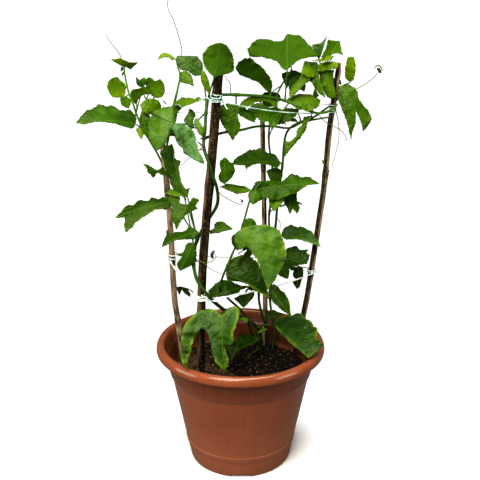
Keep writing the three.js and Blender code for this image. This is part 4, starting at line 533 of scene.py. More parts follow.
# ---- Node helpers ----
class Nodes:
    """A material's node tree, with short calls to add and join nodes."""

    def __init__(self, name):
        self.material = bpy.data.materials.new(name)
        self.material.use_nodes = True
        self.tree = self.material.node_tree
        self.shader = self.tree.nodes["Principled BSDF"]
        self.output = self.tree.nodes["Material Output"]

    def add(self, kind, **settings):
        node = self.tree.nodes.new(kind)
        for key, value in settings.items():
            setattr(node, key, value)
        return node

    def join(self, source, target):
        self.tree.links.new(source, target)

    def place(self):
        """Where a point is on its piece, in metres."""
        return self.add("ShaderNodeTexCoord").outputs["Object"]

    def attribute(self, name):
        return self.add("ShaderNodeAttribute", attribute_name=name).outputs["Fac"]

    def noise(self, scale, detail=3, rough=0.5, stretch=(1, 1, 1)):
        mapping = self.add("ShaderNodeMapping")
        mapping.inputs["Scale"].default_value = stretch
        self.join(self.place(), mapping.inputs["Vector"])
        made = self.add("ShaderNodeTexNoise")
        made.inputs["Scale"].default_value = scale
        made.inputs["Detail"].default_value = detail
        made.inputs["Roughness"].default_value = rough
        self.join(mapping.outputs["Vector"], made.inputs["Vector"])
        return made.outputs["Fac"]

    def math(self, operation, a, b=0.0):
        node = self.add("ShaderNodeMath", operation=operation)
        for socket, value in zip(node.inputs, (a, b)):
            if isinstance(value, (int, float)):
                socket.default_value = value
            else:
                self.join(value, socket)
        return node.outputs["Value"]

    def times(self, a, b):
        return self.math("MULTIPLY", a, b)

    def plus(self, a, b):
        return self.math("ADD", a, b)

    def minus(self, a, b):
        return self.math("SUBTRACT", a, b)

    def ramp(self, source, *stops):
        node = self.add("ShaderNodeValToRGB")
        elements = node.color_ramp.elements
        while len(elements) < len(stops):
            elements.new(0.5)
        for element, (place, colour) in zip(elements, stops):
            element.position = place
            element.color = (*colour, 1)
        self.join(source, node.inputs["Fac"])
        return node.outputs["Color"]

    def step(self, source, low, high):
        node = self.add("ShaderNodeMapRange", interpolation_type="SMOOTHSTEP")
        node.inputs["From Min"].default_value = low
        node.inputs["From Max"].default_value = high
        self.join(source, node.inputs["Value"])
        return node.outputs["Result"]

    def mix(self, share, a, b):
        node = self.add("ShaderNodeMix", data_type="RGBA")
        for socket, value in zip((node.inputs[0], node.inputs[6], node.inputs[7]), (share, a, b)):
            if isinstance(value, (int, float)):
                socket.default_value = value
            elif isinstance(value, tuple):
                socket.default_value = (*value, 1)
            else:
                self.join(value, socket)
        return node.outputs[2]

    def gloss(self, roughness, specular):
        self.shader.inputs["Roughness"].default_value = roughness
        self.shader.inputs["Specular IOR Level"].default_value = specular

    def bump(self, height, strength, distance):
        node = self.add("ShaderNodeBump")
        node.inputs["Strength"].default_value = strength
        node.inputs["Distance"].default_value = distance
        self.join(height, node.inputs["Height"])
        self.join(node.outputs["Normal"], self.shader.inputs["Normal"])


# ---- Materials ----
# The blade's ramps go with tone, from dark to bright.
BLADE_DARK = ((0.0, (0.004, 0.019, 0.0)), (0.5, (0.016, 0.058, 0.0)), (1.0, (0.085, 0.16, 0.0)))
BLADE_LIGHT = ((0.0, (0.011, 0.041, 0.0)), (0.5, (0.046, 0.12, 0.0)), (1.0, (0.18, 0.29, 0.0)))
# Painted sheen: a pale green that stands in for light glinting off glossy blades.
PAINTED_SHEEN_GREEN = (0.16, 0.33, 0.13)
YELLOW_EDGE = (0.26, 0.36, 0.01)
UPPER_VEIN = (0.1, 0.2, 0.012)
LOWER_VEIN = (0.14, 0.24, 0.03)
UNDERSIDE_GREEN = (0.065, 0.15, 0.006)
THROUGH_GREEN = (0.2, 0.42, 0.001)  # light that comes through a blade
DRY_STEM = (0.035, 0.024, 0.014)
TAN_CRUMB = (0.34, 0.2, 0.09)
POT_FOOT = (0.28, 0.088, 0.04)
# Painted shade: the darker band below the lip, where the lip's shadow falls.
POT_UNDER_LIP_SHADE = (0.15, 0.036, 0.011)
# Painted shade: the darker inner wall, where shade falls inside the pot.
POT_INSIDE_SHADE = (0.06, 0.014, 0.005)
POT_SCUFF = (0.5, 0.25, 0.16)


def leaf_material(name, upper):
    """A leaf's upper or lower face. It reads where a point lies on its blade (blade), the blade's tone and
    painted sheen, how yellow its edge is, how near the edge the point is, how its side veins stand and
    whether it has three ribs."""
    n = Nodes(name)
    blade = n.add("ShaderNodeUVMap", uv_map="blade").outputs["UV"]
    parts = n.add("ShaderNodeSeparateXYZ")
    n.join(blade, parts.inputs["Vector"])
    across = n.math("ABSOLUTE", parts.outputs["X"])
    along = parts.outputs["Y"]
    tone, yellow, edge = n.attribute("tone"), n.attribute("yellow"), n.attribute("edge")
    # Side veins leave the midrib and bend towards the tip. One unit of blade is a centimetre.
    bend = n.times(n.math("POWER", across, VEIN_CURVE), VEIN_BEND)
    phase = n.times(n.minus(along, bend), n.attribute("veins"))
    from_vein = n.math("ABSOLUTE", n.minus(n.math("FRACT", phase), 0.5))
    side_vein = n.minus(1.0, n.step(from_vein, 0.0, 0.09))
    midrib = n.minus(1.0, n.step(across, 0.03, 0.09))
    rib = n.minus(n.times(across, 0.77), n.times(along, 0.64))
    rib = n.math("ABSOLUTE", rib)
    lobe_rib = n.times(n.minus(1.0, n.step(rib, 0.02, 0.08)), n.attribute("lobed"))
    main_vein = n.math("MAXIMUM", midrib, lobe_rib)
    mottle = n.noise(38, 3)
    fine = n.noise(330, 2)
    veins = n.math("MAXIMUM", n.times(side_vein, 0.2), main_vein)
    dark = n.ramp(tone, *BLADE_DARK)
    light = n.ramp(tone, *BLADE_LIGHT)
    body = n.mix(n.step(mottle, 0.25, 0.8), dark, light)
    body = n.mix(n.times(n.step(fine, 0.45, 0.75), 0.3), body, light)
    # Painted sheen: on leaves given a sheen amount, pale green blotches stand in for light glinting off the
    # blade.
    sheen_mask = n.times(n.attribute("bloom"), n.step(n.noise(55, 4, 0.6), 0.33, 0.68))
    body = n.mix(n.times(sheen_mask, 0.75 if upper else 0.3), body, PAINTED_SHEEN_GREEN)
    body = n.mix(n.times(veins, 0.6), body, UPPER_VEIN if upper else LOWER_VEIN)
    rim_share = n.times(n.step(edge, 0.88, 1.0), n.step(mottle, 0.38, 0.58))
    rim_share = n.times(rim_share, yellow)
    body = n.mix(rim_share, body, YELLOW_EDGE)
    if not upper:
        body = n.mix(0.4, body, UNDERSIDE_GREEN)
    n.join(body, n.shader.inputs["Base Color"])
    rough = n.plus(n.times(mottle, 0.2), 0.24 if upper else 0.5)
    n.join(rough, n.shader.inputs["Roughness"])
    n.shader.inputs["Specular IOR Level"].default_value = 0.2 if upper else 0.05
    n.shader.inputs["Specular Tint"].default_value = (0.85, 1, 0.45, 1)
    swell = n.math("SINE", n.times(from_vein, math.pi))
    sunk = n.times(veins, 0.35 if upper else -0.5)
    height = n.minus(n.times(swell, 0.15), sunk)
    creases = n.math("ABSOLUTE", n.minus(n.noise(95, 3, 0.6), 0.5))
    height = n.plus(height, n.times(creases, 3.0))
    n.bump(height, 0.45, 0.0016)
    through = n.add("ShaderNodeBsdfTranslucent")
    n.join(n.mix(0.4, body, THROUGH_GREEN), through.inputs["Color"])
    both = n.add("ShaderNodeMixShader")
    both.inputs["Fac"].default_value = 0.2
    n.join(n.shader.outputs["BSDF"], both.inputs[1])
    n.join(through.outputs["BSDF"], both.inputs[2])
    n.join(both.outputs["Shader"], n.output.inputs["Surface"])
    return n.material


def stem_material():
    """Green skin, brighter where tone is high, that turns brown where it is dry."""
    n = Nodes("stem_skin")
    streak = n.noise(90, 3, 0.6, (1, 1, 0.25))
    old = n.ramp(streak, (0.3, (0.006, 0.024, 0.001)), (0.7, (0.024, 0.075, 0.002)))
    young = n.ramp(streak, (0.3, (0.05, 0.15, 0.003)), (0.7, (0.15, 0.32, 0.01)))
    green = n.mix(n.attribute("tone"), old, young)
    n.join(n.mix(n.attribute("dry"), green, DRY_STEM), n.shader.inputs["Base Color"])
    n.gloss(0.42, 0.2)
    n.bump(streak, 0.4, 0.0006)
    return n.material


def bark_material(name, dark, mid, light, wood):
    """Bark with long cracks, pale flecks and worn knots, and bare wood where it has peeled."""
    n = Nodes(name)
    grain = n.noise(70, 6, 0.7, (1, 1, 0.22))
    patch = n.noise(22, 3, 0.5, (1, 1, 0.45))
    crack = n.noise(170, 4, 0.7, (1, 1, 0.16))
    body = n.ramp(grain, (0.3, dark), (0.5, mid), (0.74, light))
    body = n.mix(n.times(n.step(n.noise(240, 3), 0.54, 0.62), 0.75), body, light)
    bare = n.plus(n.attribute("peel"), n.times(n.minus(patch, 0.5), 1.3))
    wooden = n.ramp(grain, (0.3, mid), (0.5, wood), (0.72, tuple(1.35 * c for c in wood)))
    body = n.mix(n.step(bare, 0.42, 0.62), body, wooden)
    body = n.mix(n.times(n.step(crack, 0.5, 0.62), 0.8), body, dark)
    body = n.mix(n.attribute("knot"), body, mid)
    n.join(body, n.shader.inputs["Base Color"])
    n.gloss(0.9, 0.05)
    n.bump(n.plus(crack, n.times(grain, 1.3)), 1.0, 0.0022)
    return n.material


def twine_material():
    """Frayed fibre, from green to white as tone rises."""
    n = Nodes("twine_fibre")
    fray = n.noise(500, 3, 0.6)
    green = n.ramp(fray, (0.3, (0.2, 0.4, 0.31)), (0.65, (0.55, 0.76, 0.66)))
    white = n.ramp(fray, (0.3, (0.7, 0.78, 0.73)), (0.65, (0.93, 0.96, 0.93)))
    n.join(n.mix(n.attribute("tone"), green, white), n.shader.inputs["Base Color"])
    n.shader.inputs["Roughness"].default_value = 0.55
    n.bump(fray, 0.6, 0.0005)
    return n.material


# Heights in metres at which the pot's colours change, each from start to end. INNER_WALL_FADE is a radius,
# less what the wall leans out by at its height.
FOOT_FADE = (0.02, 0.12)
# The painted shade under the lip starts at UNDER_LIP_FADE.
UNDER_LIP_FADE = (0.166, 0.176)
LIP_FADE = (0.2075, 0.2115)
# The inner wall's painted shade lies within INNER_WALL_FADE and above INNER_START_FADE.
INNER_WALL_FADE = (0.0925, 0.0935)
INNER_START_FADE = (0.164, 0.168)


def pot_material():
    """Moulded plastic: red-brown body and glossier lip, with painted shade as a darker band under the lip
    and on the inner wall.
    """
    n = Nodes("pot_moulding")
    parts = n.add("ShaderNodeSeparateXYZ")
    n.join(n.place(), parts.inputs["Vector"])
    height = parts.outputs["Z"]
    cloud = n.noise(9, 4, 0.55)
    scuff = n.noise(60, 5, 0.7, (1, 1, 0.08))
    body = n.ramp(cloud, (0.3, (0.2, 0.052, 0.019)), (0.7, (0.26, 0.072, 0.027)))
    low = n.mix(n.step(height, *FOOT_FADE), POT_FOOT, body)
    # Painted shade: the wall from just above the shoulder up to the lip is darkened, where the lip's shadow
    # falls.
    low = n.mix(n.step(height, *UNDER_LIP_FADE), low, POT_UNDER_LIP_SHADE)
    lip = n.ramp(cloud, (0.3, (0.17, 0.042, 0.012)), (0.7, (0.24, 0.062, 0.018)))
    colour = n.mix(n.step(height, *LIP_FADE), low, lip)
    flat = n.add("ShaderNodeCombineXYZ")
    n.join(parts.outputs["X"], flat.inputs["X"])
    n.join(parts.outputs["Y"], flat.inputs["Y"])
    radius = n.add("ShaderNodeVectorMath", operation="LENGTH")
    n.join(flat.outputs["Vector"], radius.inputs[0])
    upright = n.minus(radius.outputs["Value"], n.times(height, WALL_SLOPE))
    # Painted shade: the inner wall above the soil is darkened, as shade falls inside the pot.
    inner_shade = n.minus(1.0, n.step(upright, *INNER_WALL_FADE))
    inner_shade = n.times(inner_shade, n.step(height, *INNER_START_FADE))
    colour = n.mix(n.times(inner_shade, 0.6), colour, POT_INSIDE_SHADE)
    colour = n.mix(n.times(n.step(scuff, 0.25, 0.95), 0.1), colour, POT_SCUFF)
    n.join(colour, n.shader.inputs["Base Color"])
    rough = n.plus(n.times(cloud, 0.2), 0.2)
    rough = n.minus(rough, n.times(n.step(height, *LIP_FADE), 0.13))
    rubbed = n.times(n.step(scuff, 0.55, 0.7), 0.12)
    n.join(n.plus(rough, rubbed), n.shader.inputs["Roughness"])
    n.shader.inputs["Specular IOR Level"].default_value = 0.55
    n.bump(n.plus(n.noise(35, 3), n.times(n.noise(900, 2), 0.15)), 0.12, 0.002)
    return n.material


def soil_material(name, dark, light):
    """Dark crumbs, and tan ones where tone is high."""
    n = Nodes(name)
    crumb = n.noise(260, 6, 0.7)
    body = n.ramp(crumb, (0.35, dark), (0.7, light))
    body = n.mix(n.attribute("tone"), body, TAN_CRUMB)
    n.join(body, n.shader.inputs["Base Color"])
    n.gloss(0.95, 0.15)
    n.bump(crumb, 1.0, 0.003)
    return n.material


LEAF_UPPER = leaf_material("leaf_upper", True)
LEAF_LOWER = leaf_material("leaf_lower", False)
STEM_SKIN = stem_material()
DARK_BARK = bark_material(
    "dark_bark",
    dark=(0.003, 0.002, 0.001),
    mid=(0.018, 0.011, 0.005),
    light=(0.085, 0.058, 0.028),
    wood=(0.13, 0.085, 0.04),
)
TAN_BARK = bark_material(
    "tan_bark",
    dark=(0.004, 0.003, 0.001),
    mid=(0.03, 0.02, 0.01),
    light=(0.11, 0.075, 0.04),
    wood=(0.3, 0.22, 0.13),
)
TWINE_FIBRE = twine_material()
POT_MOULDING = pot_material()
SOIL_CRUMB = soil_material("soil_crumb", (0.002, 0.001, 0.001), (0.014, 0.009, 0.006))


# ---- Meshes ----
class Mesh:
    """Gathers the vertices, faces, materials and point attributes of one piece, in millimetres."""

    def __init__(self):
        self.points, self.faces, self.slots, self.values, self.uvs = [], [], [], {}, []
        self.count = 0

    def add(self, points, faces, slots=0, uvs=None, **values):
        points = np.asarray(points, float)
        faces = [tuple(int(i) + self.count for i in face) for face in faces]
        self.faces += faces
        self.slots += [slots] * len(faces) if isinstance(slots, int) else list(slots)
        self.points.append(points)
        self.uvs.append(np.zeros((len(points), 2)) if uvs is None else np.asarray(uvs, float))
        for name in set(self.values) | set(values):
            had = self.values.setdefault(name, [np.zeros(self.count)])
            had.append(np.broadcast_to(np.asarray(values.get(name, 0.0), float), (len(points),)))
        self.count += len(points)

    def place(self, name, materials, smooth=True):
        mesh = bpy.data.meshes.new(name)
        mesh.from_pydata((np.concatenate(self.points) * MM).tolist(), [], self.faces)
        for material in materials:
            mesh.materials.append(material)
        mesh.polygons.foreach_set("material_index", self.slots)
        mesh.polygons.foreach_set("use_smooth", [smooth] * len(self.faces))
        for key, parts in self.values.items():
            layer = mesh.attributes.new(key, "FLOAT", "POINT")
            layer.data.foreach_set("value", np.concatenate(parts).astype(np.float32))
        corners = np.zeros(len(mesh.loops), np.int32)
        mesh.loops.foreach_get("vertex_index", corners)
        flat = np.concatenate(self.uvs)
        if flat.any():
            layer = mesh.uv_layers.new(name="blade")
            layer.data.foreach_set("uv", flat[corners].astype(np.float32).ravel())
        mesh.update()
        piece = bpy.data.objects.new(name, mesh)
        bpy.context.scene.collection.objects.link(piece)
        return piece

    def finish(self, name, materials, slot, smooth=True):
        piece = self.place(name, materials, smooth)
        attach(piece, "root")
        return piece


def unit(v):
    return v / (np.linalg.norm(v, axis=-1, keepdims=True) + 1e-12)


def curve(points, shares):
    """Places and directions on the smooth curve through some points, at shares of its length in points."""
    p = np.array(points, float)
    p = np.vstack([2 * p[0] - p[1], p, 2 * p[-1] - p[-2]])
    x = np.clip(np.asarray(shares, float), 0, 1) * (len(p) - 3)
    i = np.minimum(x.astype(int), len(p) - 4)
    w = (x - i)[:, None]
    a, b, c, d = p[i], p[i + 1], p[i + 2], p[i + 3]
    start, end = (c - a) / 2, (d - b) / 2
    cubic, square = 2 * b - 2 * c + start + end, -3 * b + 3 * c - 2 * start - end
    place = cubic * w**3 + square * w**2 + start * w + b
    return place, unit(3 * cubic * w**2 + 2 * square * w + start)


def add_tube(mesh, centres, directions, radii, sides=10, **values):
    """A closed tube. radii is one number, one for each ring, or one for each ring and side."""
    centres = np.asarray(centres, float)
    rings = len(centres)
    radii = np.asarray(radii, float)
    if radii.ndim < 2:
        radii = np.broadcast_to(radii.reshape(-1, 1), (rings, sides))
    across = np.array([0.31, 0.87, 0.39])
    angles = np.arange(sides) * 2 * math.pi / sides
    points = []
    for centre, along, ring in zip(centres, directions, radii):
        across = unit(across - along * (across @ along))
        up = np.cross(along, across)
        spoke = np.cos(angles)[:, None] * across + np.sin(angles)[:, None] * up
        points.append(centre + ring[:, None] * spoke)
    faces = []
    for r in range(rings - 1):
        for k in range(sides):
            n = (k + 1) % sides
            faces.append((r * sides + k, r * sides + n, (r + 1) * sides + n, (r + 1) * sides + k))
    points = np.concatenate(points)
    faces.append(tuple(reversed(range(sides))))
    faces.append(tuple(range((rings - 1) * sides, rings * sides)))
    spread = {key: np.repeat(v, sides) if np.ndim(v) else v for key, v in values.items()}
    mesh.add(points, faces, **spread)


def turned(angle):
    """The turn by an angle about the upright axis."""
    side, front = math.cos(angle), math.sin(angle)
    return np.array([[side, -front, 0], [front, side, 0], [0, 0, 1]])


def route_length(points):
    return float(np.linalg.norm(np.diff(np.array(points, float), axis=0), axis=1).sum())


# ---- Leaves ----
def smooth_edge(points, sharp, step):
    """A half outline from base to tip, rounded through its points except the sharp ones, at even steps."""
    runs, start = [], 0
    for stop in [*sharp, len(points) - 1]:
        runs.append(points[start:stop + 1])
        start = stop
    line = []
    for run in runs:
        count = max(2, int(route_length(run) / step * 1.6))
        shares = np.linspace(0, 1, count)
        if len(run) > 2:
            places = curve([(*p, 0) for p in run], shares)[0][:, :2]
        else:
            places = np.array(run[0]) + shares[:, None] * (np.array(run[-1]) - np.array(run[0]))
        line += list(places if not line else places[1:])
    line = np.array(line)
    along = np.concatenate([[0], np.cumsum(np.linalg.norm(np.diff(line, axis=0), axis=1))])
    even = np.linspace(0, along[-1], max(4, int(along[-1] / step)))
    return np.column_stack([np.interp(even, along, line[:, k]) for k in (0, 1)]), even


def sharp_places(points):
    """The places in a half outline where two lobes meet or a lobe ends."""
    line = np.array(points, float)
    ways = unit(np.diff(line, axis=0))
    turns = np.arccos(np.clip((ways[:-1] * ways[1:]).sum(axis=1), -1, 1))
    return [k + 1 for k, turn in enumerate(turns) if turn > SHARP_TURN]


def toothed(edge, travel, height, side, seed):
    """Small teeth along an edge, and a slower waver, with neither at its two ends."""
    ahead = unit(np.gradient(edge, axis=0))
    outward = np.column_stack([-ahead[:, 1], ahead[:, 0]]) * -side
    turn = 2 * math.pi * travel / TOOTH_PITCH
    tooth = 0.55 * np.sin(turn + 0.6 * np.sin(turn))
    slow = np.array([noise.noise(Vector((s / 9, seed, side))) for s in travel])
    waver = slow + 0.6 * np.array([noise.noise(Vector((s / 4.5, seed, side))) for s in travel])
    fade = np.clip(np.minimum(travel, travel[-1] - travel) / 6, 0, 1)
    return edge + outward * (height * (tooth + 1.7 * waver) * fade)[:, None]


def inside(points, loop):
    """Which points lie inside a closed loop."""
    x, y = points[:, 0, None], points[:, 1, None]
    x0, y0 = loop[:, 0], loop[:, 1]
    x1, y1 = np.roll(x0, -1), np.roll(y0, -1)
    crosses = ((y0 > y) != (y1 > y)) & (x < (x1 - x0) * (y - y0) / (y1 - y0 + 1e-12) + x0)
    return crosses.sum(axis=1) % 2 == 1


def blade_frame(leaf):
    """Where a blade starts, its way along, up and left, and its length."""
    base, tip = np.array(leaf["base"], float), np.array(leaf["tip"], float)
    axis = tip - base
    length = float(np.linalg.norm(axis))
    axis = axis / length
    up = np.array(leaf["face"], float)
    up = unit(up - axis * (up @ axis))
    return base, axis, up, np.cross(up, axis), length


def vein_rate(length):
    """How many side veins leave each centimetre of midrib."""
    return 10 / max(7.0, length / 9)


def blade_surface(leaf, flat, half_width, seed):
    """Where places on the flat blade, in millimetres across and along it, lie in the round."""
    base, axis, up, left, length = blade_frame(leaf)
    across, along = flat[:, 0], flat[:, 1]
    share = along / length
    bow = 4 * share * (1 - share)
    reach = np.abs(across) / half_width
    fold = math.radians(leaf["fold"])
    local_up = unit(up - axis * (4 * leaf["arch"] * (1 - 2 * share))[:, None])
    side = np.where(across > 0, 0.6, 3.4)
    wave = 2 * math.pi * RUFFLES * share
    fine_wave = 2 * math.pi * (2.7 * RUFFLES * share)
    ruffle = RUFFLE * length * reach**2 * np.sin(wave + side)
    fine = FINE_RUFFLE * length * reach**3 * np.sin(fine_wave + 2.3 * side + seed)
    broad = np.array([noise.noise(Vector((x / 12 + seed, y / 12, seed * 0.7))) for x, y in flat])
    small = [noise.noise(Vector((x / 5.5 + seed, y / 5.5, seed * 0.3))) for x, y in flat]
    puff = broad + 0.5 * np.array(small)
    pucker = PUCKER * min(1, length / 60) * puff * np.minimum(1, 0.25 + 1.5 * reach)
    phase = (along / 10 - VEIN_BEND * (np.abs(across) / 10) ** VEIN_CURVE) * vein_rate(length)
    swell = np.sin(math.pi * np.abs(phase % 1 - 0.5))
    quilt = QUILT * min(1, length / 90) * swell * np.minimum(1, 3 * reach)
    drop = np.abs(across) * math.sin(fold) * np.sqrt(reach) - ruffle - fine - pucker - quilt
    sweep = leaf["sweep"] * length * bow + across * math.cos(fold)
    lift = leaf["arch"] * length * bow
    arched = base + np.outer(along, axis) + np.outer(lift, up) + np.outer(sweep, left)
    return arched - local_up * drop[:, None]


def half_outlines(leaf):
    """A blade's left and right half outlines, in millimetres."""
    if "left" in leaf:
        return [leaf["left"], leaf["right"]]
    length = blade_frame(leaf)[-1]
    return [[(a * length, c * leaf["width"] * length) for a, c in OUTLINES[leaf["shape"]]]] * 2


def blade_edges(sides, length, seed):
    """The left and right toothed edges of a flat blade, each from base to tip."""
    step = min(1.25, max(0.8, length / 50))
    height = TOOTH_HEIGHT * min(1, length / 60)
    edges = []
    for points, sign in zip(sides, (1, -1)):
        line = [(0, 0), *[(sign * c, a) for a, c in points], (0, length)]
        line, travel = smooth_edge(line, sharp_places(line), step)
        edges.append(toothed(line, travel, height, sign, seed))
    return edges


def from_edge(points, loop):
    """How far places are from a loop's nearest point."""
    return np.sqrt(((points[:, None] - loop[None]) ** 2).sum(axis=2)).min(axis=1)


def filled(loop, tip, length):
    """A flat blade's places and triangles. tip is the place in the loop where the midrib ends."""
    count = max(3, int(length / 2.5))
    rib = np.column_stack([np.zeros(count - 1), np.linspace(0, length, count + 1)[1:-1]])
    gap = min(2.4, max(1.5, length / 32))
    low, high = loop.min(axis=0), loop.max(axis=0)
    rows = np.arange(low[1], high[1], gap * 0.87)
    grid = [(x + (k % 2) * gap / 2, y) for k, y in enumerate(rows) for x in np.arange(low[0], high[0], gap)]
    grid = np.array(grid)
    grid = grid[inside(grid, loop)]
    grid = grid[(from_edge(grid, loop) > gap * 0.45) & (np.abs(grid[:, 0]) > gap * 0.4)]
    flat = np.vstack([loop, rib, grid])
    n = len(loop)
    spine = [0, *range(n, n + len(rib)), tip]
    wires = [(i, (i + 1) % n) for i in range(n)] + list(zip(spine[:-1], spine[1:]))
    made = geometry.delaunay_2d_cdt([Vector(p) for p in flat], wires, [], 1, 1e-4)
    flat = np.array([tuple(p) for p in made[0]])
    return flat, np.array([f[::-1] if side_turn(flat, f) > 0 else f for f in made[2]])


def point_normals(place, faces):
    """The mean normal of the triangles round each point."""
    a, b, c = place[faces[:, 0]], place[faces[:, 1]], place[faces[:, 2]]
    flat_normals = np.cross(b - a, c - a)
    normals = np.zeros_like(place)
    for k in range(3):
        np.add.at(normals, faces[:, k], flat_normals)
    return unit(normals)


def rim_faces(faces, total):
    """Faces that join the upper side's rim to the under side's, whose points come total places later."""
    walked = {}
    for f in faces:
        for i, j in ((f[0], f[1]), (f[1], f[2]), (f[2], f[0])):
            walked[(int(i), int(j))] = True
    return [(j, i, i + total, j + total) for i, j in walked if (j, i) not in walked]


def add_leaf(mesh, leaf, seed):
    """A thin blade: its toothed outline is filled with small triangles, bent into shape and thickened."""
    _, _, up, _, length = blade_frame(leaf)
    sides = half_outlines(leaf)
    half_width = max(c for side in sides for _, c in side)
    edges = blade_edges(sides, length, seed)
    loop = np.vstack([edges[0], edges[1][-2:0:-1]])
    flat, faces = filled(loop, len(edges[0]) - 1, length)
    place = blade_surface(leaf, flat, half_width, seed)
    normals = point_normals(place, faces)
    if (normals @ up).mean() < 0:
        faces, normals = faces[:, ::-1], -normals
    rim_gap = from_edge(flat, loop)
    thick = BLADE_THICKNESS / 2 * np.clip(rim_gap / 2, 0.3, 1)[:, None]
    under = faces[:, ::-1] + len(flat)
    rim = rim_faces(faces, len(flat))
    near_edge = 1 - np.clip(rim_gap / (half_width * 0.85), 0, 1)
    mesh.add(
        np.vstack([place + normals * thick, place - normals * thick]),
        [*map(tuple, faces), *map(tuple, under), *rim],
        [0] * len(faces) + [1] * (len(under) + len(rim)),
        uvs=np.vstack([flat, flat]) / 10,
        tone=leaf["tone"],
        yellow=leaf["yellow"],
        edge=np.concatenate([near_edge, near_edge]),
        veins=vein_rate(length),
        bloom=leaf["bloom"],
        lobed=1.0 if leaf.get("shape") == "lobed" else 0.0,
    )


def side_turn(flat, face):
    """Above zero where a flat face turns left."""
    (ax, ay), (bx, by), (cx, cy) = (flat[i] for i in face)
    return (bx - ax) * (cy - ay) - (by - ay) * (cx - ax)


def add_petiole(mesh, stem_points, leaf, size):
    """A leaf's stalk, which rises a little on its way from the stem's node to the blade's base."""
    node = curve(stem_points, [leaf["at"]])[0][0]
    base, axis, up, _, length = blade_frame(leaf)
    middle = (node + base) / 2
    middle[2] += PETIOLE_RISE * np.linalg.norm(base - node)
    inner = base + axis * min(5.0, length / 5) + up * 0.2
    shares = np.linspace(0, 1, 13)[:, None]
    arc = (1 - shares) ** 2 * node + 2 * shares * (1 - shares) * middle + shares**2 * base
    arc = np.vstack([arc, inner])
    radii = PETIOLE_RADIUS * size * np.array([*(1.5 - 0.45 * np.minimum(1, shares[:, 0] * 5)), 0.35])
    tone = 0.08 + 0.5 * leaf["tone"] ** 2
    add_tube(mesh, arc, unit(np.gradient(arc, axis=0)), radii * 0.85, 7, tone=tone)


# ---- Stems ----
def add_stem(mesh, stem, points, young):
    """A stem that thins towards its tip and swells at each node."""
    length = route_length(points)
    steps = int(length / 3)
    shares = np.linspace(0, 1, steps + 1)
    places, directions = curve(points, shares)
    nodes = np.array([leaf["at"] for leaf in stem["leaves"]] or [2.0])
    swell = STEM_SWELL * np.exp(-(((shares[:, None] - nodes) * length / 3.5) ** 2)).max(axis=1)
    radii = stem["radius"] * (1.1 - 0.45 * shares) * (1 + swell)
    tone = (0.5 if young else 0.0) + 0.35 * shares**2
    add_tube(mesh, places, directions, radii, 10, tone=tone)


def add_tendril(mesh, route, tone):
    """A thread that dries towards its end."""
    shares = np.linspace(0, 1, max(8, int(route_length(route) / 1.5)))
    places, directions = curve(route, shares)
    add_tube(mesh, places, directions, TENDRIL_RADIUS * (1.35 - 0.6 * shares), 6, tone=tone,
             dry=0.35 + 0.55 * shares)


def add_sprig(mesh, route, radius, tone, dry):
    """A bud, a twig or a cut stub: a short tube that is fullest in its middle."""
    shares = np.linspace(0, 1, 12)
    places, directions = curve(route, shares)
    radii = radius * (0.55 + 0.45 * np.sin(math.pi * shares))
    add_tube(mesh, places, directions, radii, 8, tone=tone, dry=dry)


def build_vine(name, vine):
    """One vine's stems, petioles, tendrils and sprigs as one piece, and its blades as another."""
    stems, leaves = Mesh(), Mesh()
    for stem in vine["stems"]:
        points = list(stem["path"])
        if stem["rooted"]:
            x, y, z = points[0]
            points = [(x, y, z - STEM_DEPTH), *points]
        add_stem(stems, stem, points, vine["young"])
        for leaf in stem["leaves"]:
            add_petiole(stems, points, leaf, 1.1 if stem["radius"] > STOUT_STEM else 0.9)
            add_leaf(leaves, leaf, float(RANDOM.uniform(0, 50)))
        for route in stem["tendrils"]:
            add_tendril(stems, route, 0.85 if vine["young"] else 0.6)
    for radius, tone, dry, route in vine.get("sprigs", []):
        add_sprig(stems, route, radius, tone, dry)
    slot = "shoot_green" if vine["young"] else "leaf_green"
    stems.finish(name + "_stems", [STEM_SKIN], slot)
    leaf_piece = leaves.finish(name + "_leaves", [LEAF_UPPER, LEAF_LOWER], slot)
    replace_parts(leaf_piece, name)


# ---- Stakes ----
def stake_points(stake):
    """A stake's route, from its buried end to its top."""
    x, y, _ = stake["foot"]
    return [(x * STAKE_LEAN, y * STAKE_LEAN, SOIL_HEIGHT - STAKE_DEPTH), stake["foot"], *stake["path"]]


def build_stake(name, stake):
    """A stake with knots, a rough bark and one side that has peeled."""
    points = stake_points(stake)
    shares = np.linspace(0, 1, STAKE_STEPS + 1)
    places, directions = curve(points, shares)
    angles = np.arange(STAKE_SIDES) * 2 * math.pi / STAKE_SIDES
    along = shares * route_length(points)
    knots = np.array(stake["joints"])
    bulge = np.exp(-(((shares[:, None] - knots) * 95) ** 2)).max(axis=1)
    seed = stake["radius"] * 3
    rings = [[Vector((2.1 * math.cos(a) + seed, 2.1 * math.sin(a), s / 24)) for a in angles] for s in along]
    bark = np.array([[noise.fractal(spot, 1.0, 2.0, 4) for spot in ring] for ring in rings])
    girth = 1.04 - stake["taper"] * shares[:, None] + 0.13 * bulge[:, None] + 0.07 * bark
    radii = stake["radius"] * girth
    end = np.clip((1 - shares) * 60, 0.55, 1)
    mesh = Mesh()
    add_tube(mesh, places, directions, radii * end[:, None], STAKE_SIDES, knot=bulge * 0.6)
    outward = mesh.points[0] - np.repeat(places, STAKE_SIDES, axis=0)
    peel_way = math.radians(stake["peel_way"])
    facing = unit(outward[:, :2]) @ np.array([math.cos(peel_way), math.sin(peel_way)])
    mesh.values["peel"] = [stake["peel"] + 0.5 * facing]
    bark_look, slot = (DARK_BARK, "dark_bark") if stake["dark"] else (TAN_BARK, "tan_bark")
    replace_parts(mesh.finish(name + "_bark", [bark_look], slot), name)


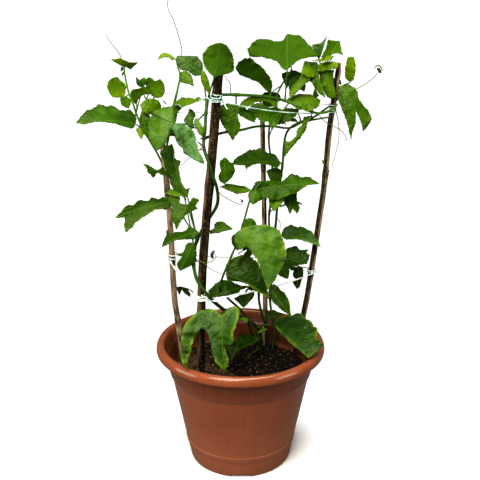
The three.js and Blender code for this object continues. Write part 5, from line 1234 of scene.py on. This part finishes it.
def stake_at(stake, height):
    """Where a stake's middle is at a height, and its girth there."""
    shares = np.linspace(0, 1, 400)
    places = curve(stake_points(stake), shares)[0]
    nearest = int(np.argmin(np.abs(places[:, 2] - height)))
    return places[nearest], stake["radius"] * (1.08 - stake["taper"] * shares[nearest])


# ---- Twine ----
def add_twist(mesh, route, radius, whiteness):
    """Two strands twisted round each other along a route."""
    shares = np.linspace(0, 1, len(route) * 3)
    places, directions = curve(route, shares)
    travel = np.linspace(0, route_length(route), len(shares))
    side = unit(np.cross(directions, np.array([0.2, 0.3, 0.93])))
    over = np.cross(directions, side)
    for strand in (0, math.pi):
        twist = travel / TWIST_PITCH + strand
        offset = radius * 0.48 * (np.cos(twist)[:, None] * side + np.sin(twist)[:, None] * over)
        add_tube(mesh, places + offset, directions, radius * 0.62, 6, tone=whiteness)


def way_from(start, end):
    """The angle at which twine touches a stake's side when it runs from one stake to another."""
    return math.atan2(end[1] - start[1], end[0] - start[0]) - math.pi / 2


def wound(turns, i):
    """Points that wind round stake i of a ring, and the angle at which the twine leaves it."""
    count = len(turns)
    middle, radius, _, winds, climb = turns[i % count]
    arrive = way_from(turns[(i - 1) % count][0], middle)
    leave = way_from(middle, turns[(i + 1) % count][0])
    while leave < arrive:
        leave += 2 * math.pi
    last = i == count
    start = leave - 2 * math.pi * winds if i == 0 else arrive
    stop = arrive + math.pi if last else leave + (0 if i == 0 else 2 * math.pi * (winds - 1))
    steps = max(6, int((stop - start) / (2 * math.pi) * TURN_POINTS))
    points = []
    for k in range(steps + 1):
        share = k / steps
        angle = start + (stop - start) * share
        turn = (angle - start) / (2 * math.pi)
        wobble = 0.5 * math.sin(5.1 * turn + i)
        rise = climb * (0.7 if last else share - 0.5)
        out = radius + 0.6 * abs(math.sin(1.7 * turn + 2 * i)) + (1.6 if last else 0)
        x, y = middle[0] + out * math.cos(angle), middle[1] + out * math.sin(angle)
        points.append((x, y, middle[2] + rise + wobble))
    return points, leave


def build_twine(name, ring):
    """Twine that winds a few times round each stake, sags between them and ends in a knot and a tail."""
    turns = []
    for stake, height, sag, winds, climb in ring["turns"]:
        middle, girth = stake_at(STAKES[stake], height)
        turns.append((middle, girth + ring["radius"], sag, winds, climb))
    route = []
    for i, (_, _, sag, _, _) in enumerate(turns):
        points, leave = wound(turns, i)
        route += points
        after = turns[(i + 1) % len(turns)]
        outward = np.array([math.cos(leave), math.sin(leave), 0])
        first = np.array(points[-1])
        final = after[0] + after[1] * outward - np.array([0, 0, after[4] / 2])
        for k in range(1, SAG_POINTS):
            share = k / SAG_POINTS
            hang = 4 * share * (1 - share)
            route.append(tuple(first + (final - first) * share - np.array([0, 0, sag * hang])))
    route += wound(turns, len(turns))[0]
    route.append(tuple(ring["tail"]))
    mesh = Mesh()
    for line in (route, *ring["loose"]):
        add_twist(mesh, line, ring["radius"], ring["whiteness"])
    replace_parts(mesh.finish(name + "_strands", [TWINE_FIBRE], "twine"), name)


# ---- Soil ----
# A chip's six corners, for a chip of one millimetre.
CHIP = np.array([(-1, 0, 0), (1, 0, 0), (0, -0.55, 0), (0, 0.55, 0), (0, 0, -0.4), (0, 0, 0.4)])


def soil_top(x, y):
    """How high the smooth soil is at a place."""
    lumps = np.sin(0.11 * x + 1) * np.cos(0.13 * y) + 0.6 * np.sin(0.31 * x) * np.sin(0.27 * y + 2)
    return SOIL_HEIGHT + SOIL_TILT * x + 2.2 * lumps


def crust_top(x, y):
    """How high the crumbs on the soil are at a place."""
    crumb = noise.fractal(Vector((x / CRUMB_SIZE, y / CRUMB_SIZE, 3)), 1.0, 2.1, 5)
    return float(soil_top(x, y)) + CRUST_RISE + CRUMB_HEIGHT * crumb


def crust_index(r, k):
    """Which point of the crust is on ring r at side k."""
    return 0 if r == 0 else 1 + (r - 1) * CRUST_SIDES + k % CRUST_SIDES


def build_crust():
    """A crumbly crust over the soil, a little lighter at the front left."""
    points = [(0, 0)]
    for r in range(1, CRUST_RINGS + 1):
        for k in range(CRUST_SIDES):
            angle = 2 * math.pi * (k + 0.5 * (r % 2)) / CRUST_SIDES
            reach = CRUST_RADIUS * r / CRUST_RINGS
            points.append((reach * math.cos(angle), reach * math.sin(angle)))
    flat = np.array(points)
    top = [crust_top(x, y) for x, y in flat]
    faces = [(0, crust_index(1, k), crust_index(1, k + 1)) for k in range(CRUST_SIDES)]
    for r in range(1, CRUST_RINGS):
        for k in range(CRUST_SIDES):
            faces.append((crust_index(r, k), crust_index(r + 1, k), crust_index(r + 1, k + 1),
                          crust_index(r, k + 1)))
    count = len(flat)
    under = np.column_stack([flat, soil_top(flat[:, 0], flat[:, 1]) - CRUST_DEPTH])
    rim = []
    for k in range(CRUST_SIDES):
        here, ahead = crust_index(CRUST_RINGS, k), crust_index(CRUST_RINGS, k + 1)
        rim.append((here, here + count, ahead + count, ahead))
    faces += [tuple(reversed([i + count for i in f])) for f in faces] + rim
    front_left = np.clip(-flat[:, 0] / 300 - flat[:, 1] / 260, 0, 0.14)
    crust = Mesh()
    crust.add(np.vstack([np.column_stack([flat, top]), under]), faces,
              tone=np.concatenate([front_left, front_left]))
    crust.finish("soil_crust", [SOIL_CRUMB], "potting_soil")


def build_chips():
    """Chips of bark that lie on the crust. More of them are tan at the front left."""
    chips = Mesh()
    for _ in range(CHIPS):
        angle, share = RANDOM.uniform(0, 2 * math.pi), math.sqrt(RANDOM.uniform(0, 1))
        x, y = share * CHIP_REACH * math.cos(angle), share * CHIP_REACH * math.sin(angle)
        tan = RANDOM.uniform() < 0.16 + 0.5 * max(0, -x / 120 - y / 160)
        size = RANDOM.uniform(0.9, 2.5) * (1.2 if tan else 1)
        spin, tip = RANDOM.uniform(0, math.pi), RANDOM.uniform(-0.5, 0.5)
        shape = CHIP * size
        shape += RANDOM.uniform(-0.15, 0.15, shape.shape) * size
        lean = np.array([[1, 0, 0], [0, math.cos(tip), -math.sin(tip)], [0, math.sin(tip), math.cos(tip)]])
        place = shape @ lean.T @ turned(spin).T + np.array([x, y, crust_top(x, y) + 0.3 * size])
        ends = ((0, 2), (2, 1), (1, 3), (3, 0))
        tone = RANDOM.uniform(0.2, 1.0) if tan else RANDOM.uniform(0, 0.12)
        chips.add(place, [(a, b, 5) for a, b in ends] + [(b, a, 4) for a, b in ends], tone=tone)
    chips.finish("soil_chips", [SOIL_CRUMB], "potting_soil", smooth=False)


# ---- Pot ----
def wall_radius(z):
    """The outer radius of the wall below the shoulder."""
    return BASE_RADIUS + WALL_SLOPE * z


def inner_radius(z):
    """The inner radius of the same wall."""
    return wall_radius(z) - WALL


def upper_radius(z):
    """The outer radius of the wall between the shoulder and the lip."""
    return wall_radius(z) + SHOULDER_STEP - UPPER_SLOPE * (z - SHOULDER_HEIGHT)


def rounded(profile, share=0.3, most=2.2):
    """Rounds each corner of a profile with three points."""
    made = []
    count = len(profile)
    for i in range(count):
        here, before, after = (np.array(profile[k % count], float) for k in (i, i - 1, i + 1))
        if here[0] == 0:
            made.append(tuple(here))
            continue
        back = before - here
        ahead = after - here
        cut_back = min(share * np.linalg.norm(back), most)
        cut_ahead = min(share * np.linalg.norm(ahead), most)
        a, c = here + unit(back) * cut_back, here + unit(ahead) * cut_ahead
        made += [tuple(a), tuple((a + 2 * here + c) / 4), tuple(c)]
    return made


def pot_profile():
    """Half of the pot's section, from its foot up the outside, over the lip and down the inside."""
    low_lip = POT_HEIGHT - LIP_HEIGHT
    skirt = RIM_RADIUS - 3
    middle = (RIM_RADIUS + LIP_INNER_RADIUS) / 2
    ledge = POT_HEIGHT - 26
    low_band, high_band = FOOT_BAND
    return [
        (0, 0), (BASE_RADIUS - 3, 0), (BASE_RADIUS + 0.3, 2),
        (wall_radius(low_band), low_band), (wall_radius(low_band) + FOOT_BAND_PROUD, low_band + 1.5),
        (wall_radius(high_band) + FOOT_BAND_PROUD, high_band - 1.5), (wall_radius(high_band), high_band),
        (wall_radius(SHOULDER_HEIGHT - 6), SHOULDER_HEIGHT - 6),
        (wall_radius(SHOULDER_HEIGHT) + 0.6, SHOULDER_HEIGHT - 1),
        (upper_radius(SHOULDER_HEIGHT + 3), SHOULDER_HEIGHT + 3),
        (upper_radius(SHOULDER_HEIGHT + 7), SHOULDER_HEIGHT + 7),
        (upper_radius(low_lip + 10), low_lip + 10),
        (skirt - 1, low_lip + 11), (skirt, low_lip + 1), (skirt + 1, low_lip),
        (RIM_RADIUS - 0.8, low_lip + 0.6), (RIM_RADIUS, low_lip + 4),
        (RIM_RADIUS - 0.6, POT_HEIGHT - 6), (RIM_RADIUS - 2.6, POT_HEIGHT - 2),
        (middle + 1, POT_HEIGHT), (LIP_INNER_RADIUS + 2, POT_HEIGHT - 0.6),
        (LIP_INNER_RADIUS, POT_HEIGHT - 3),
        (upper_radius(ledge + 3) - WALL + 0.8, ledge + 3), (upper_radius(ledge) - WALL - 0.6, ledge),
        (upper_radius(SHOULDER_HEIGHT + 5) - WALL, SHOULDER_HEIGHT + 5),
        (inner_radius(SHOULDER_HEIGHT - 4), SHOULDER_HEIGHT - 4),
        (inner_radius(7), 7), (inner_radius(3) - 3, 3), (0, 3),
    ]


def turned_mesh(profile):
    """A profile turned about the upright axis, from a point on it to another point on it."""
    angles = np.arange(POT_SIDES) * 2 * math.pi / POT_SIDES
    points, faces, rows = [], [], []
    for r, z in profile:
        if r == 0:
            rows.append([len(points)])
            points.append((0, 0, z))
            continue
        rows.append(list(range(len(points), len(points) + POT_SIDES)))
        points += [(r * math.cos(a), r * math.sin(a), z) for a in angles]
    for low, high in zip(rows[:-1], rows[1:]):
        for k in range(POT_SIDES):
            n = (k + 1) % POT_SIDES
            if len(low) == 1:
                faces.append((low[0], high[n], high[k]))
            elif len(high) == 1:
                faces.append((low[k], low[n], high[0]))
            else:
                faces.append((low[k], low[n], high[n], high[k]))
    mesh = Mesh()
    mesh.add(points, faces)
    return mesh


def build_pot():
    """The pot turned from its profile, with the foot's notches and the lip's slots cut out."""
    piece = turned_mesh(rounded(pot_profile())).finish("pot_moulded", [POT_MOULDING], "pot_plastic")
    cutters = Mesh()
    channel_end = BASE_RADIUS + 12
    for quarter in range(4):
        turn = quarter * math.pi / 2 - math.pi / 2
        add_box(cutters, (CHANNEL_START + channel_end) / 2, turn,
                (channel_end - CHANNEL_START, NOTCH_WIDTH, 2 * NOTCH_HEIGHT), 0)
    for angle in SLOT_ANGLES:
        add_box(cutters, SLOT_PLACE, math.radians(angle), SLOT_SIZE, POT_HEIGHT)
    cutter = cutters.finish("pot_cutters", [POT_MOULDING], "pot_plastic", smooth=False)
    cut = piece.modifiers.new("notches", "BOOLEAN")
    cut.operation, cut.object, cut.solver = "DIFFERENCE", cutter, "EXACT"
    bpy.context.view_layer.update()
    made = bpy.data.meshes.new_from_object(piece.evaluated_get(bpy.context.evaluated_depsgraph_get()))
    piece.modifiers.clear()
    piece.data = made
    bpy.data.objects.remove(cutter)
    made.set_sharp_from_angle(angle=SHARP_EDGE)
    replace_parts(piece, "pot")


def add_box(mesh, place, turn, size, height):
    """A box at a distance from the axis and at a height, turned about the axis."""
    x, y, z = (s / 2 for s in size)
    corners = np.array([(i, j, k) for i in (-x, x) for j in (-y, y) for k in (-z, z)])
    corners = corners + np.array([place, 0, height])
    faces = [(0, 1, 3, 2), (4, 6, 7, 5), (0, 4, 5, 1), (2, 3, 7, 6), (0, 2, 6, 4), (1, 5, 7, 3)]
    mesh.add(corners @ turned(turn).T, faces)


# ---- The whole plant ----
build_pot()
build_crust()
build_chips()
for name, stake in STAKES.items():
    build_stake(name, stake)
for name, ring in TWINE_RINGS.items():
    build_twine(name, ring)
for name, vine in VINES.items():
    build_vine(name, vine)
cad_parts["soil"].data.materials.clear()
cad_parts["soil"].data.materials.append(SOIL_CRUMB)


# ---- Floor and light ----
ROOM_LIGHT = 0.22
FLOOR_REACH = 6000
FLOOR_HEIGHT = -0.2
LAMP_AIM = (0, 0, 0.4)
FLOOR_FADE = (0.1, 0.2)
FLOOR_PAPER = (0.93, 0.93, 0.93)
FLOOR_BOUNCE = (0.16, 0.15, 0.14)
LAMP_WARMTH = (1, 0.97, 0.9)
# Each lamp is its name, its place, the length and width of its face in metres, and its watts.
LAMPS = (
    ("key", (-0.6, -1.5, 1.9), 1.3, 1.3, 62),
    ("top", (0.2, -0.1, 2.4), 1.2, 1.2, 36),
    ("tube", (-0.35, -0.7, 2.3), 1.1, 0.07, 12),
    ("right", (1.5, -0.9, 0.5), 0.9, 0.9, 9),
    ("left", (-1.6, -0.5, 0.4), 0.9, 0.9, 10),
)


def build_floor():
    """A paper floor that fades out a little way from the pot."""
    floor = Mesh()
    corners = ((-1, -1), (1, -1), (1, 1), (-1, 1))
    floor.add([(x * FLOOR_REACH, y * FLOOR_REACH, FLOOR_HEIGHT) for x, y in corners], [(0, 1, 2, 3)])
    paper = Nodes("floor_paper")
    paper.gloss(0.8, 0.0)
    away = paper.add("ShaderNodeVectorMath", operation="LENGTH")
    paper.join(paper.place(), away.inputs[0])
    gone = paper.step(away.outputs["Value"], *FLOOR_FADE)
    paper.join(paper.minus(1.0, gone), paper.shader.inputs["Alpha"])
    looked_at = paper.add("ShaderNodeLightPath").outputs["Is Camera Ray"]
    paper.join(paper.mix(looked_at, FLOOR_BOUNCE, FLOOR_PAPER), paper.shader.inputs["Base Color"])
    floor.place("floor", [paper.material])


def build_room():
    """A warm dim room that is plain white to the camera."""
    world = bpy.data.worlds.new("studio")
    bpy.context.scene.world = world
    world.use_nodes = True
    tree = world.node_tree
    room = tree.nodes["Background"]
    room.inputs["Color"].default_value = (*LAMP_WARMTH, 1)
    room.inputs["Strength"].default_value = ROOM_LIGHT
    backdrop = tree.nodes.new("ShaderNodeBackground")
    backdrop.inputs["Color"].default_value = (1, 1, 1, 1)
    seen = tree.nodes.new("ShaderNodeLightPath")
    either = tree.nodes.new("ShaderNodeMixShader")
    tree.links.new(seen.outputs["Is Camera Ray"], either.inputs["Fac"])
    tree.links.new(room.outputs["Background"], either.inputs[1])
    tree.links.new(backdrop.outputs["Background"], either.inputs[2])
    tree.links.new(either.outputs["Shader"], tree.nodes["World Output"].inputs["Surface"])


def build_lamp(name, place, length, width, power):
    """A flat lamp that faces the plant."""
    lamp = bpy.data.lights.new(name, "AREA")
    lamp.shape = "RECTANGLE"
    lamp.energy, lamp.size, lamp.size_y = power, length, width
    lamp.color = LAMP_WARMTH
    lamp_object = bpy.data.objects.new(name, lamp)
    lamp_object.location = place
    aim = Vector(LAMP_AIM) - Vector(place)
    lamp_object.rotation_euler = aim.to_track_quat("-Z", "Y").to_euler()
    bpy.context.scene.collection.objects.link(lamp_object)


build_floor()
build_room()
for lamp_row in LAMPS:
    build_lamp(*lamp_row)
bpy.context.scene.view_settings.view_transform = "Standard"
bpy.context.scene.view_settings.look = "Medium High Contrast"
